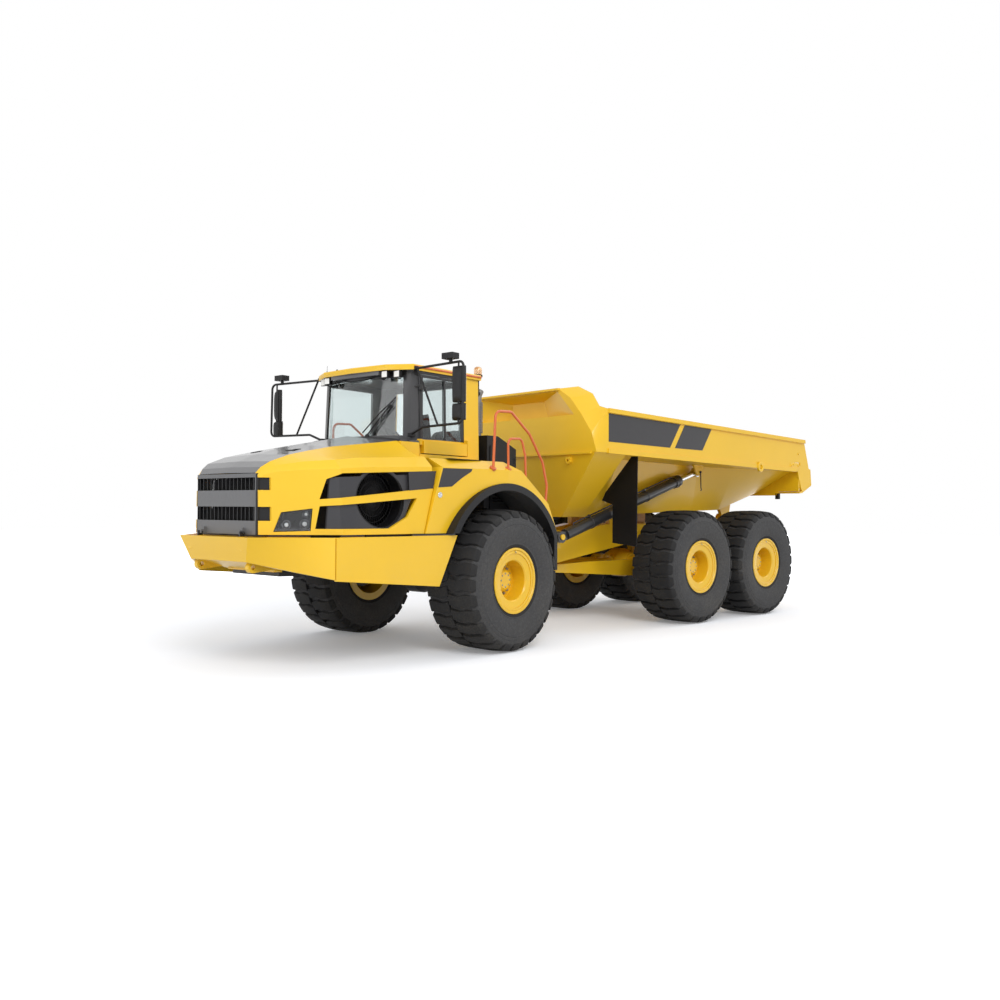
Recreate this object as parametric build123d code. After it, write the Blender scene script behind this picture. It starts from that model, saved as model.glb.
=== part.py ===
from build123d import *
from math import atan2, cos, degrees, hypot, pi, radians, sin, sqrt
import os

os.makedirs("parts", exist_ok=True)

# Articulated dump truck, six driven wheels, 40 tonne class. Millimetres.
# Built with x forward from the front axle, y to the left and z up from the ground,
# then moved so that the origin is the middle of the whole truck's footprint.

# Wheels and axles
TRACK = 2636
HUB_Z = 895
TYRE_WIDTH = 780
TREAD_WIDTH = 690
LUGS = 22
LUG_DEPTH = 48
SIDEWALL_R = 715
BEAD_WIDTH = 680
BEAD_R = 345
RIM_FLANGE_R = 415
RIM_FLANGE_T = 12
RIM_BORE_R = 250
RIM_BARREL_T = 27
DISC_Y = 70
DISC_T = 30
HUB_CAP_R = 135
HUB_CAP_L = 90
FIT = 0.3
HITCH_X = -1277
MIDDLE_X = -4518
BOGIE_SPACING = 1940
REAR_X = MIDDLE_X - BOGIE_SPACING
AXLE_R = 130
BRAKE_R = 225
BRAKE_L = 190
DIFF_R = 240

# Hitch
PARKED_STEER = -7.77
STEER_LOCK = 45
TWIST_Z = 1040
TWIST_RANGE = 10
LUG_R = 150
LUG_T = 65
LUG_GAP = 370
HITCH_PIN_R = 60
YOKE_R = 140
YOKE_REACH = 420
FLANGE_R = 290
FLANGE_T = 60
TRUNNION_R = 180
TRUNNION_L = 240

# Front frame, bumper and skirts
RAIL_Y = 340
RAIL_T = 90
RAIL_Z = 1040
RAIL_H = 270
RAIL_RISE = 40
RAIL_FRONT = 2700
HEAD_X = -900
BUMPER_X = 3260
BUMPER_NOSE_Y = 635
BUMPER_TOP = 1480
BUMPER_LOW = 1234
BUMPER_FOOT = 1000
BUMPER_FOOT_X = 3139
BUMPER_FOOT_Y = 420
CORNER_X = 2610
CORNER_Y = 1277
SKIRT_REAR_X = 905
SKIRT_REAR_Y = 1500
SKIRT_LOW_FRONT = 1020
SKIRT_LOW_REAR = 885
SKIN = 30
PANEL_GAP = 12
SEAM_GAP = 20
SEAM_T = 12
SEAM_TOP = 1528
TOW_X = 3093
TOW_Y = 478
TOW_Z = 1152
TOW_R = 62
TOW_BORE_R = 27
TOW_T = 60

# Hood and grille
HOOD_LOW = BUMPER_TOP + 25
HOOD_HINGE_X = 3160
HOOD_HINGE_Z = 1520
HOOD_OPEN = 50
GRILLE_X = 3112
GRILLE_Y = 560
GRILLE_TOP = 2165
GRILLE_T = 34
SWEEP_SUM = 3670
CORE_Y = 780

# Cab
CAB_REAR = -190
CAB_SIDE_Y = 900
CAB_TOP_SIDE_Y = 872
CAB_SIDE_FRONT = 940
CAB_NOSE_X = 1270
CAB_TOP_NOSE_X = 1150
CAB_CORNER = 90
CAB_FLOOR_Z = 2050
CAB_TOP_Z = 3500
CAB_WALL = 50
BAND_Y = 948
COWL_REAR = 1000
ROOF_T = 62
ROOF_CORNER_X = 1043
ROOF_CORNER_Y = 880
SILL_Z = 2470
BELT_Z = 2680
HEADER_Z = 3420
DOOR_FRONT = 925
DOOR_REAR = 105
DOOR_OPEN = 70
HINGE_X = 950
HINGE_Y = 918
HINGE_R = 16
HINGE_PIN_R = 7
HINGE_HEIGHTS = (2580, 3260)
HINGE_H = 40
GLASS_T = 8
MIRROR_X = 1130
MIRROR_OUT_Y = 1772
MIRROR_ROD_Y = 1685
MIRROR_TOP = 3508
MIRROR_LOW = 2788

# Fenders
ARCH_R = 1190
ARCH_Z = 930
ARCH_T = 90
ARCH_REAR_X = -1060
FENDER_Y = 1550
FENDER_TAPER_X = 1500
FENDER_FRONT_Y = 1385
DECK_Z = 2400
DECK_INNER_Y = 950
SHOULDER_Y = 180
SHOULDER_H = 112
RAIL_HOOP_Y = 1515
ARCH_LOW = 975
BAY_TOP = 2780

# Dump body, in the straight rear frame
BODY_FRONT = -2050
SIDE_FRONT = -2290
POD_REAR = -2750
POD_END = -3300
FLAP_X = -3080
BODY_Y = 1600
BODY_T = 30
BAND_TOP_FRONT = 3240
BAND_TOP_REAR = 3090
BAND_LOW_FRONT = 2610
BAND_LOW_REAR = 2510
BODY_TAIL = -8164
FLOOR_FRONT = -2300
FLOOR_Z = 1680
FLOOR_Y = 700
BELLY_Y = 800
KICK_X = -6400
KICK_Z = 1800
CHUTE_X = -7700
CHUTE_Z = 2140
TIP_X = -6950
TIP_Z = 1640
TIP_OPEN = 70
TIP_PIN_R = 45
RIDGE_Z = 3625
RIDGE_Y = 1030

# Hoist cylinders, in the straight rear frame
HOIST_Y = 940
FOOT_X = -2010
FOOT_Z = 1390
EYE_X = -5390
EYE_Z = 2440
BARREL_R = 85
BARREL_BORE = 62
HEAD_GAP = 540
HOIST_ROD_R = 48
PISTON_PARKED = 840
EYE_R = 80
EYE_T = 90
HOIST_PIN_R = 42

# Steering cylinders, in the front frame at the straight-ahead position
STEER_FOOT_X = -330
STEER_FOOT_Y = 560
STEER_EYE_X = -1417
STEER_EYE_Y = 310
STEER_Z = 960
STEER_GATE_Y = 235
STEER_BARREL_R = 52
STEER_ROD_R = 28
STEER_BARREL_L = 740
STEER_ROD_L = 772

# Rear frame and bogie
REAR_RAIL_Y = 350
REAR_RAIL_T = 110
REAR_RAIL_END = -7080
BOGIE_X = (MIDDLE_X + REAR_X) / 2
BOGIE_Z = 1000
BOGIE_PIN_R = 85
BEAM_Y = 560
BEAM_T = 150


def face_of(points):
    return make_face(Polyline(*points, close=True))


def prism_x(points, low, high):
    """Points are (y, z)."""
    return extrude(face_of([(low, y, z) for y, z in points]), high - low, dir=(1, 0, 0))


def prism_y(points, low, high):
    """Points are (x, z)."""
    return extrude(face_of([(x, low, z) for x, z in points]), high - low, dir=(0, 1, 0))


def prism_z(points, low, high):
    """Points are (x, y)."""
    return extrude(face_of([(x, y, low) for x, y in points]), high - low, dir=(0, 0, 1))


def block(x_low, x_high, y_low, y_high, z_low, z_high):
    return prism_z([(x_low, y_low), (x_high, y_low), (x_high, y_high), (x_low, y_high)], z_low, z_high)


def bar(start, end, radius):
    """A round bar from start to end."""
    line = Vector(*end) - Vector(*start)
    return extrude(Plane(origin=start, z_dir=line) * Circle(radius), line.length)


def pipe(points, radius, bend):
    """A round bar along straight runs with rounded bends."""
    path = FilletPolyline(*points, radius=bend)
    return sweep(Plane(origin=path @ 0, z_dir=path % 0) * Circle(radius), path=path)


def mirrored(shape):
    return mirror(shape, about=Plane.XZ)


def both(shape):
    """The left piece and its mirror image on the right, as two solids."""
    return Compound(children=solids_of(shape) + solids_of(mirrored(shape)))


def solids_of(shape):
    return list(shape.solids())


def whole(*shapes):
    """One node from shapes that stay separate solids."""
    return Compound(children=[solid for shape in shapes for solid in solids_of(shape)])


def revolved_y(profile):
    """Profile points are (radius, y)."""
    return revolve(face_of([(0, y, radius) for radius, y in profile]), Axis.Y)


def tread_outline(turn):
    """Blocks round the tread seen from the side, as (x, z); turn is in pitches."""
    pitch = 2 * pi / LUGS
    tip_r = HUB_Z / cos(pitch / 4)
    root_r = HUB_Z - LUG_DEPTH
    points = []
    for index in range(LUGS):
        middle = -pi / 2 + (index + turn) * pitch
        for share, radius in ((-0.3, root_r), (-0.25, tip_r), (0.25, tip_r), (0.3, root_r)):
            points.append((radius * cos(middle + share * pitch), radius * sin(middle + share * pitch)))
    return points


def tyre_ring(radius, y):
    """A flat-sided ring of the tyre, with its flats at the radius."""
    corner = radius / cos(pi / LUGS)
    turns = [2 * pi * (index + 0.5) / LUGS for index in range(LUGS)]
    return face_of([(corner * cos(turn), y, corner * sin(turn)) for turn in turns])


def tyre():
    """Rows of blocks on the two halves of the tread stand half a pitch apart."""
    bead = BEAD_WIDTH / 2 - FIT
    tread = TREAD_WIDTH / 2
    rubber = prism_y(tread_outline(0), 0, tread) + prism_y(tread_outline(0.5), -tread, 0)
    for side in (1, -1):
        shoulder = tyre_ring(HUB_Z - LUG_DEPTH - 12, side * (tread - 1))
        widest = tyre_ring(SIDEWALL_R, side * TYRE_WIDTH / 2)
        rubber += loft([shoulder, widest], ruled=True)
        foot_r = RIM_FLANGE_R + 12
        past = 1 + 4 / (TYRE_WIDTH / 2 - bead)
        dish_y = bead + past * (TYRE_WIDTH / 2 - bead)
        dish_r = foot_r + past * (SIDEWALL_R - foot_r)
        rubber -= loft([tyre_ring(foot_r, side * bead), tyre_ring(dish_r, side * dish_y)], ruled=True)
    seat = tyre_ring(BEAD_R + FIT, -TYRE_WIDTH)
    return rubber - extrude(seat, 2 * TYRE_WIDTH, dir=(0, 1, 0))


def rim():
    """The dished side faces +y; the disc carries the hub's planetary cap."""
    edge = BEAD_WIDTH / 2
    outer = edge + RIM_FLANGE_T
    inside = BEAD_R - RIM_BARREL_T
    disc_back = DISC_Y + FIT
    disc_front = DISC_Y + DISC_T
    profile = [(RIM_FLANGE_R, outer), (388, outer), (376, outer - 16), (RIM_BORE_R + 14, outer - 34),
               (RIM_BORE_R, outer - 48), (RIM_BORE_R, disc_front), (HUB_CAP_R, disc_front),
               (HUB_CAP_R, disc_front + HUB_CAP_L - 20), (HUB_CAP_R - 30, disc_front + HUB_CAP_L),
               (0, disc_front + HUB_CAP_L), (0, disc_back), (inside, disc_back), (inside, -outer),
               (RIM_FLANGE_R, -outer), (RIM_FLANGE_R, -edge), (BEAD_R, -edge), (BEAD_R, edge),
               (RIM_FLANGE_R, edge)]
    return revolved_y(profile)


def axle_beam():
    """A driven axle at the origin: tube, differential and a brake drum at each end."""
    hub = TRACK / 2 + DISC_Y
    drum = TRACK / 2 - BRAKE_L
    beam = bar((0, -hub, 0), (0, hub, 0), AXLE_R)
    for side in (-1, 1):
        beam += bar((0, side * drum, 0), (0, side * (drum + BRAKE_L), 0), BRAKE_R)
    profile = [(0, -260), (DIFF_R - 70, -250), (DIFF_R, -110), (DIFF_R, 110), (DIFF_R - 70, 250), (0, 260)]
    beam += revolved_y(profile)
    beam += bar((-DIFF_R - 130, 0, 30), (DIFF_R + 60, 0, 30), 95)
    return beam


def front_axle():
    beam = Pos(0, 0, HUB_Z) * axle_beam()
    pad = block(-90, 90, RAIL_Y, RAIL_Y + RAIL_T, HUB_Z, rail_low(-90) - FIT)
    strut = bar((140, RAIL_Y + RAIL_T + 75, HUB_Z), (140, RAIL_Y + RAIL_T + 75, RAIL_Z + RAIL_H), 55)
    return beam + pad + mirrored(pad) + strut + mirrored(strut)


def rail_low(x):
    """Height of the lower edge of the front rails."""
    return RAIL_Z + RAIL_RISE * (x - HEAD_X) / (RAIL_FRONT - HEAD_X)


def chassis_front():
    top = RAIL_Z + RAIL_H
    side = [(RAIL_FRONT, RAIL_Z + RAIL_RISE), (RAIL_FRONT, top), (HEAD_X, top), (HEAD_X, RAIL_Z)]
    rail = prism_y(side, RAIL_Y, RAIL_Y + RAIL_T)
    frame = rail + mirrored(rail)
    outer = RAIL_Y + RAIL_T
    low = TWIST_Z - LUG_GAP / 2 - LUG_T
    high = TWIST_Z + LUG_GAP / 2 + LUG_T
    frame += block(HEAD_X - 110, HEAD_X, -outer, outer, low, max(top, high))
    gate = block(HEAD_X - 120, HEAD_X + 10, STEER_GATE_Y, outer + 10, low - 10, RAIL_Z - 2)
    frame -= gate + mirrored(gate)
    for x in (RAIL_FRONT - 120, 800, -420):
        frame += block(x, x + 110, -outer, outer, top - 130, top)
    for z in (low, high - LUG_T):
        plate = [(HEAD_X - 110, -outer), (HEAD_X - 110, outer), (HITCH_X, LUG_R), (HITCH_X, -LUG_R)]
        frame += prism_z(plate, z, z + LUG_T)
        frame += Pos(HITCH_X, 0, z) * extrude(Circle(LUG_R), LUG_T)
    frame += Pos(HITCH_X, 0, low - 15) * extrude(Circle(HITCH_PIN_R), high - low + 30)
    ear = block(STEER_FOOT_X - 60, STEER_FOOT_X + 60, RAIL_Y, STEER_FOOT_Y + 45, STEER_Z + 40, RAIL_Z + 40)
    pin = bar((STEER_FOOT_X, STEER_FOOT_Y, STEER_Z - 45), (STEER_FOOT_X, STEER_FOOT_Y, STEER_Z + 60), 22)
    return frame + ear + pin + mirrored(ear) + mirrored(pin)


def plan_line():
    """The left half of the bumper and skirt outline, as (x, y)."""
    return [(BUMPER_X, 0), (BUMPER_X, BUMPER_NOSE_Y), (CORNER_X, CORNER_Y), (SKIRT_REAR_X, SKIRT_REAR_Y)]


def inset_line(distance):
    """The same outline moved inwards."""
    shift = distance * 0.414
    return [(BUMPER_X - distance, 0), (BUMPER_X - distance, BUMPER_NOSE_Y - shift),
            (CORNER_X - shift, CORNER_Y - distance), (SKIRT_REAR_X - shift, SKIRT_REAR_Y - distance)]


def low_edge(x):
    """Height of the lower edge of the bumper and skirts."""
    if x > CORNER_X:
        share = (x - CORNER_X) / (BUMPER_X - CORNER_X)
        return SKIRT_LOW_FRONT + share * (BUMPER_LOW - SKIRT_LOW_FRONT)
    share = (x - SKIRT_REAR_X) / (CORNER_X - SKIRT_REAR_X)
    return SKIRT_LOW_REAR + share * (SKIRT_LOW_FRONT - SKIRT_LOW_REAR)


def nose_at(z):
    """Front and half width of the bumper's nose at a height."""
    share = (BUMPER_TOP - z) / (BUMPER_TOP - BUMPER_FOOT)
    return BUMPER_X - share * (BUMPER_X - BUMPER_FOOT_X), BUMPER_NOSE_Y - share * (BUMPER_NOSE_Y - BUMPER_FOOT_Y)


def bumper_ring(z):
    """Half of the bumper's folded plate seen from above, at a height."""
    x, y = nose_at(z)
    inner = inset_line(SKIN)
    side = SKIN * 0.414
    return face_of([(x, 0, z), (x, y, z), (CORNER_X, CORNER_Y, z), (inner[2][0], inner[2][1], z), (x - SKIN, y - side, z),
                    (x - SKIN, 0, z)])


def seam_strip(points, low, high):
    """An upright strip behind the hood's foot that closes the seam; points are (x, y) of the foot line."""
    back = SKIN + SEAM_GAP
    line = [(x - 0.7 * back, y - 0.7 * back) if x > CORNER_X - 100 else (x - 0.12 * back, y - back) for x, y in points]
    inner = [(x - 0.7 * SEAM_T, y - 0.7 * SEAM_T) if x > CORNER_X - 100 else (x, y - SEAM_T) for x, y in reversed(line)]
    return prism_z(line + inner, low, high)


def bumper():
    inner = inset_line(SKIN)
    shell = loft([bumper_ring(BUMPER_FOOT), bumper_ring(BUMPER_TOP)], ruled=True)
    shell += mirrored(shell)
    below = [(BUMPER_X + 80, low_edge(BUMPER_X + 80)), (CORNER_X - 80, low_edge(CORNER_X + 1) - 15),
             (CORNER_X - 80, 600), (BUMPER_X + 80, 600)]
    shell -= prism_y(below, -SKIRT_REAR_Y, SKIRT_REAR_Y)
    shelf = [inner[0], inner[1], inner[2], (RAIL_FRONT, CORNER_Y - 150), (RAIL_FRONT, 0)]
    top_plate = prism_z(shelf, BUMPER_TOP - 20 - SKIN, BUMPER_TOP - 20)
    start = RAIL_FRONT + FIT
    low_x, low_y = nose_at(BUMPER_LOW)
    low_plate = prism_y([(low_x - 8, BUMPER_LOW), (low_x - 8, BUMPER_LOW + 40), (start, RAIL_Z + 80),
                         (start, RAIL_Z + RAIL_RISE)], 0, low_y - 30)
    cross = block(start, RAIL_FRONT + 60, 0, RAIL_Y + RAIL_T, RAIL_Z + RAIL_RISE, BUMPER_TOP - 20)
    foot_line = [(row[0], row[1]) for row in HOOD_SECTIONS[1:4]]
    nose_back = foot_line[0][0] - 0.7 * (SKIN + SEAM_GAP)
    seam = seam_strip(foot_line, BUMPER_TOP - 25, SEAM_TOP)
    seam += block(nose_back - SEAM_T, nose_back, 0, foot_line[0][1] - 20, BUMPER_TOP - 25, SEAM_TOP)
    half = top_plate + low_plate + cross + seam
    shell += half + mirrored(half)
    ear = Pos(TOW_X, TOW_Y - TOW_T / 2, TOW_Z) * (Rot(-90, 0, 0) * extrude(Circle(TOW_R), TOW_T))
    ear += prism_y([(TOW_X, TOW_Z - TOW_R), (TOW_X + 45, TOW_Z + 20), (TOW_X + 45, BUMPER_LOW + 20),
                    (TOW_X - 330, BUMPER_LOW - 30), (TOW_X - 330, TOW_Z - 30)],
                   TOW_Y - TOW_T / 2, TOW_Y + TOW_T / 2)
    ear -= bar((TOW_X, TOW_Y - TOW_T, TOW_Z), (TOW_X, TOW_Y + TOW_T, TOW_Z), TOW_BORE_R)
    for side in (ear, mirrored(ear)):
        shell += side
    lug = block(HOOD_HINGE_X - 30, HOOD_HINGE_X + 30, 380, 400, BUMPER_TOP - 30, HOOD_HINGE_Z + 18)
    lug += bar((HOOD_HINGE_X, 340, HOOD_HINGE_Z), (HOOD_HINGE_X, 440, HOOD_HINGE_Z), 9)
    return shell + lug + mirrored(lug)


def side_skirts():
    outer, inner = plan_line(), inset_line(SKIN)
    start = CORNER_X - PANEL_GAP
    slope = (SKIRT_REAR_Y - CORNER_Y) / (CORNER_X - SKIRT_REAR_X)
    front = CORNER_Y + PANEL_GAP * slope
    strip = [(start, front), outer[3], inner[3], (start, front - SKIN)]
    skirt = prism_z(strip, SKIRT_LOW_REAR - 40, BUMPER_TOP)
    below = [(CORNER_X + 50, low_edge(CORNER_X)), (SKIRT_REAR_X + 275, SKIRT_LOW_REAR), (SKIRT_REAR_X + 275, 600),
             (CORNER_X + 50, 600)]
    skirt -= prism_y(below, 0, SKIRT_REAR_Y + 100)
    rear = [(SKIRT_REAR_X - 50, BUMPER_TOP + 10), (SKIRT_REAR_X, BUMPER_TOP + 10),
            (SKIRT_REAR_X + 275, SKIRT_LOW_REAR), (SKIRT_REAR_X + 275, 700), (SKIRT_REAR_X - 50, 700)]
    skirt -= prism_y(rear, 0, SKIRT_REAR_Y + 100)
    foot_line = [(2595, 1073), (HOOD_SECTIONS[4][0], HOOD_SECTIONS[4][1]), (HOOD_SECTIONS[5][0], HOOD_SECTIONS[5][1]),
                 (1410, 1374)]
    ledge = [(x - 0.12 * SKIN, y - SKIN - SEAM_GAP - SEAM_T) for x, y in foot_line[1:]]
    ledge += [(x, CORNER_Y - SKIN + 5 + (CORNER_X - x) * slope) for x, y in reversed(foot_line[1:])]
    skirt += prism_z(ledge, BUMPER_TOP - 20, BUMPER_TOP - 5)
    skirt += seam_strip(foot_line[1:], BUMPER_TOP - 15, SEAM_TOP)
    lip = [(x, CORNER_Y - SKIN + depth + (CORNER_X - x) * slope) for x, depth in
           ((1560, 5), (SKIRT_REAR_X + 15, 5), (SKIRT_REAR_X + 15, -SEAM_T), (1560, -SEAM_T))]
    skirt += prism_z(lip, BUMPER_TOP - 20, HOOD_LOW - 5)
    for x in (1300, 2200):
        reach = CORNER_Y - SKIN + (CORNER_X - x) * slope + 5
        skirt += block(x, x + 60, RAIL_Y + RAIL_T + FIT, reach, RAIL_Z + 120, RAIL_Z + 180)
    return both(skirt)


def belly_guard():
    profile = [(2690, RAIL_Z - 10), (2690, rail_low(2690) - FIT), (1200, rail_low(1200) - FIT), (1200, RAIL_Z - 60)]
    return prism_y(profile, -RAIL_Y - RAIL_T, RAIL_Y + RAIL_T)


def engine():
    low = RAIL_Z + RAIL_RISE
    profile = [(2450, low + 180), (2450, 1950), (2200, 2080), (1450, 2080), (1300, 1990), (960, 1900), (960, low)]
    return prism_y(profile, -RAIL_Y + FIT, RAIL_Y - FIT)


def gearbox():
    profile = [(-430, 800), (-430, 1300), (-760, 1300), (-860, 1180), (-860, 850), (-780, 800)]
    return prism_y(profile, -RAIL_Y + FIT, RAIL_Y - FIT)


def radiator():
    low = RAIL_Z + RAIL_H
    core = block(2570, 2680, -CORE_Y, CORE_Y, low + 60, 2190)
    leg = block(2570, 2680, RAIL_Y, RAIL_Y + RAIL_T, low + FIT, low + 60)
    return core + leg + mirrored(leg)


# Hood sections: x, side foot y, shoulder y and z, upper shoulder y and z, crease y and z, crown z
HOOD_SECTIONS = [
    (3085, 585, 575, 2110, 560, 2150, 520, 2170, 2175),
    (3035, 635, 615, 2150, 590, 2195, 545, 2235, 2242),
    (2940, 730, 700, 2185, 650, 2250, 580, 2300, 2312),
    (2700, 970, 925, 2210, 840, 2300, 605, 2385, 2405),
    (2450, 1215, 1165, 2225, 1060, 2325, 620, 2440, 2470),
    (2150, 1285, 1230, 2250, 1120, 2360, 650, 2500, 2545),
    (1200, 1400, 1350, 2290, 1230, 2405, 930, 2625, 2725),
]


# Rear edge of the hood from the top down, as (x, z)
HOOD_EDGE = [(1330, 2480), (1275, 2416), (1160, 2412), (1115, 2290), (1380, HOOD_LOW - 50)]
EDGE_GAP = 12


def hood_ring(row, inset):
    x, foot_y, side_y, side_z, high_y, high_z, crease_y, crease_z, crown_z = row
    low = HOOD_LOW - (60 if inset else 0)
    half = [(foot_y - inset, low), (side_y - inset, side_z - inset * 0.4), (high_y - inset * 0.8, high_z - inset * 0.8),
            (crease_y - inset * 0.4, crease_z - inset)]
    ring = half + [(0, crown_z - inset)] + [(-y, z) for y, z in reversed(half)]
    return face_of([(x, y, z) for y, z in ring])


def hood_solid(inset):
    rows = [list(row) for row in HOOD_SECTIONS]
    if inset:
        rows[0][0] += 40
        rows[-1][0] -= 40
    return loft([hood_ring(row, inset) for row in rows], ruled=True)


def hood_rear_cut():
    """Everything behind the hood's rear edge, which steps round the cab."""
    edge = [(1330, 3000)] + HOOD_EDGE + [(600, HOOD_LOW - 50), (600, 3000)]
    return prism_y(edge, -1700, 1700)


def hood_shell():
    shell = hood_solid(0) - hood_solid(SKIN) - hood_rear_cut()
    mouth = block(GRILLE_X - 120, GRILLE_X + 60, -GRILLE_Y, GRILLE_Y, HOOD_LOW - 100, GRILLE_TOP)
    return shell - mouth


# Windows in the hood's left side, as (x, z) seen from the side
UPPER_INTAKE = [(2620, 1890), (2560, 2110), (2430, 2175), (1230, 2235), (1290, 2030)]
LOWER_INTAKE = [(2660, 1570), (2620, 1815), (1440, 1915), (1590, 1700), (1850, 1570)]
HEADLAMP = [(693, 1536), (751, 1748), (985, 1790), (972, 1548)]
NOTCHES = [(1985, 2120), (1655, 1805)]


def crease_cover():
    """The space above the grey panel's edge, between the two creases."""
    ring = []
    for row in HOOD_SECTIONS:
        x, crease_y = row[0], row[6]
        ring.append((x, crease_y))
    first, last = ring[0], ring[-1]
    plan = [(first[0] + 60, first[1])] + ring + [(last[0] - 60, last[1])]
    plan += [(x, -y) for x, y in reversed(plan)]
    return prism_z(plan, 2000, 3000)


def hood_top():
    piece = hood_shell() & crease_cover()
    return whole(piece)


def lamp_pocket(depth, grow):
    """The headlamp's outline cut square to the swept corner; depth is measured into the hood."""
    out = 60
    points = []
    for y, z in HEADLAMP:
        points.append((SWEEP_SUM - y, y, z))
    centre = sum((Vector(*p) for p in points), Vector(0, 0, 0)) / len(points)
    normal = Vector(1, 1, 0).normalized()
    ring = [Vector(*p) + (Vector(*p) - centre).normalized() * grow for p in points]
    back = face_of([tuple(p - normal * depth) for p in ring])
    return extrude(back, depth + out, dir=tuple(normal))


def hood_sides():
    side = hood_shell() - crease_cover()
    side = side & block(1000, 3300, 0, 1700, 1400, 3000)
    side -= prism_y(UPPER_INTAKE, 700, 1700)
    side -= prism_y(LOWER_INTAKE, 700, 1700)
    side -= lamp_pocket(120, FIT)
    for low, high in NOTCHES:
        side -= block(2985, 3200, 400, 800, low, high)
    return both(side)


def grille():
    low = HOOD_LOW
    outer = [(GRILLE_X, 0), (GRILLE_X, GRILLE_Y - 40), (GRILLE_X - 30, GRILLE_Y - FIT),
             (GRILLE_X - 30 - GRILLE_T, GRILLE_Y - FIT), (GRILLE_X - GRILLE_T, GRILLE_Y - 60), (GRILLE_X - GRILLE_T, 0)]
    frame = prism_z(outer, low, GRILLE_TOP - FIT)
    frame += mirrored(frame)
    for bottom, top in NOTCHES:
        frame -= block(GRILLE_X - 200, GRILLE_X + 100, -GRILLE_Y + 25, GRILLE_Y - 25, bottom, top)
    for bottom, top in NOTCHES:
        count = 14
        for index in range(count + 1):
            y = -GRILLE_Y + 60 + index * (2 * GRILLE_Y - 120) / count
            frame += block(GRILLE_X - GRILLE_T, GRILLE_X - GRILLE_T + 14, y - 5, y + 5, bottom - 5, top + 5)
    knuckle = block(HOOD_HINGE_X - 45, HOOD_HINGE_X + 15, 345, 375, HOOD_HINGE_Z - 14, HOOD_HINGE_Z + 30)
    arm = block(GRILLE_X - 5, HOOD_HINGE_X - 20, 345, 375, HOOD_HINGE_Z - 5, HOOD_HINGE_Z + 60)
    knuckle += arm
    knuckle -= bar((HOOD_HINGE_X, 330, HOOD_HINGE_Z), (HOOD_HINGE_X, 390, HOOD_HINGE_Z), 9 + FIT)
    return frame + knuckle + mirrored(knuckle)


def side_intakes():
    """Grey panels behind the side windows, each with a round fan guard."""
    profile = [(2560, 1560), (2520, 2130), (1300, 2200), (1300, 2030), (1500, 1900), (1600, 1700), (1850, 1560)]
    inside = hood_solid(SKIN + FIT)
    panel = prism_y(profile, 700, 1500) & inside
    panel -= hood_solid(SKIN + 26)
    fan = (1930, 1900, 330)
    panel -= bar((fan[0], 700, fan[1]), (fan[0], 1600, fan[1]), fan[2])
    ring = Pos(fan[0], 1080, fan[1]) * (Rot(-90, 0, 0) * extrude(Circle(fan[2] + 30) - Circle(fan[2] - 12), 180))
    guard = Pos(fan[0], 1085, fan[1]) * (Rot(-90, 0, 0) * extrude(Circle(fan[2]), 20))
    return both(panel + (ring & inside) + guard)


def headlamps():
    lamp = lamp_pocket(SKIN + 50, 0)
    lamp &= hood_solid(2)
    return both(lamp)


def cab_solid(inset):
    """Cab body as a loft between its plan at the floor and its plan at the roof."""
    rows = [(CAB_FLOOR_Z, CAB_SIDE_Y, CAB_NOSE_X), (CAB_TOP_Z, CAB_TOP_SIDE_Y, CAB_TOP_NOSE_X)]
    faces = []
    for z, side_y, nose_x in rows:
        side = side_y - inset
        corner = side_y - CAB_CORNER - inset * 0.6
        front = CAB_SIDE_FRONT - (CAB_NOSE_X - nose_x) * 0.4 - inset * 0.4
        tip = front + CAB_CORNER
        rear = CAB_REAR + inset
        edge = Polyline((tip, corner, z), (front, side, z), (rear, side, z), (rear, -side, z), (front, -side, z),
                        (tip, -corner, z))
        nose = ThreePointArc((tip, -corner, z), (nose_x - inset, 0, z), (tip, corner, z))
        faces.append(make_face(edge.edges() + nose.edges()))
    return loft(faces, ruled=True)


def door_prism(grow):
    outline = [(DOOR_REAR - grow, SILL_Z - grow), (DOOR_FRONT + grow, SILL_Z - grow),
               (DOOR_FRONT + grow, HEADER_Z + 40 + grow), (DOOR_REAR - grow, HEADER_Z + 40 + grow)]
    return prism_y(outline, 600, 1100)


def door_window(grow):
    outline = [(DOOR_REAR + 55 - grow, BELT_Z - 15 - grow), (DOOR_FRONT - 50 + grow, BELT_Z - 30 - grow),
               (DOOR_FRONT - 60 + grow, HEADER_Z + grow), (DOOR_REAR + 55 - grow, HEADER_Z + grow)]
    return prism_y(outline, 600, 1100)


def front_window(grow):
    outline = [(-715 - grow, BELT_Z + 20 - grow), (715 + grow, BELT_Z + 20 - grow), (690 + grow, HEADER_Z + grow),
               (-690 - grow, HEADER_Z + grow)]
    return prism_x(outline, CAB_SIDE_FRONT, CAB_NOSE_X + 200)


def right_window(grow):
    outline = [(DOOR_REAR - grow, BELT_Z - grow), (DOOR_FRONT - 20 + grow, BELT_Z - grow),
               (DOOR_FRONT - 20 + grow, HEADER_Z + grow), (DOOR_REAR - grow, HEADER_Z + grow)]
    return prism_y(outline, -1100, -600)


def rear_window(grow):
    outline = [(-660 - grow, BELT_Z + 60 - grow), (660 + grow, BELT_Z + 60 - grow), (640 + grow, HEADER_Z + grow),
               (-640 - grow, HEADER_Z + grow)]
    return prism_x(outline, CAB_REAR - 100, CAB_REAR + 150)


def cab_side_y(z):
    """Half width of the cab at a height."""
    return CAB_SIDE_Y - (CAB_SIDE_Y - CAB_TOP_SIDE_Y) * (z - CAB_FLOOR_Z) / (CAB_TOP_Z - CAB_FLOOR_Z)


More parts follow.
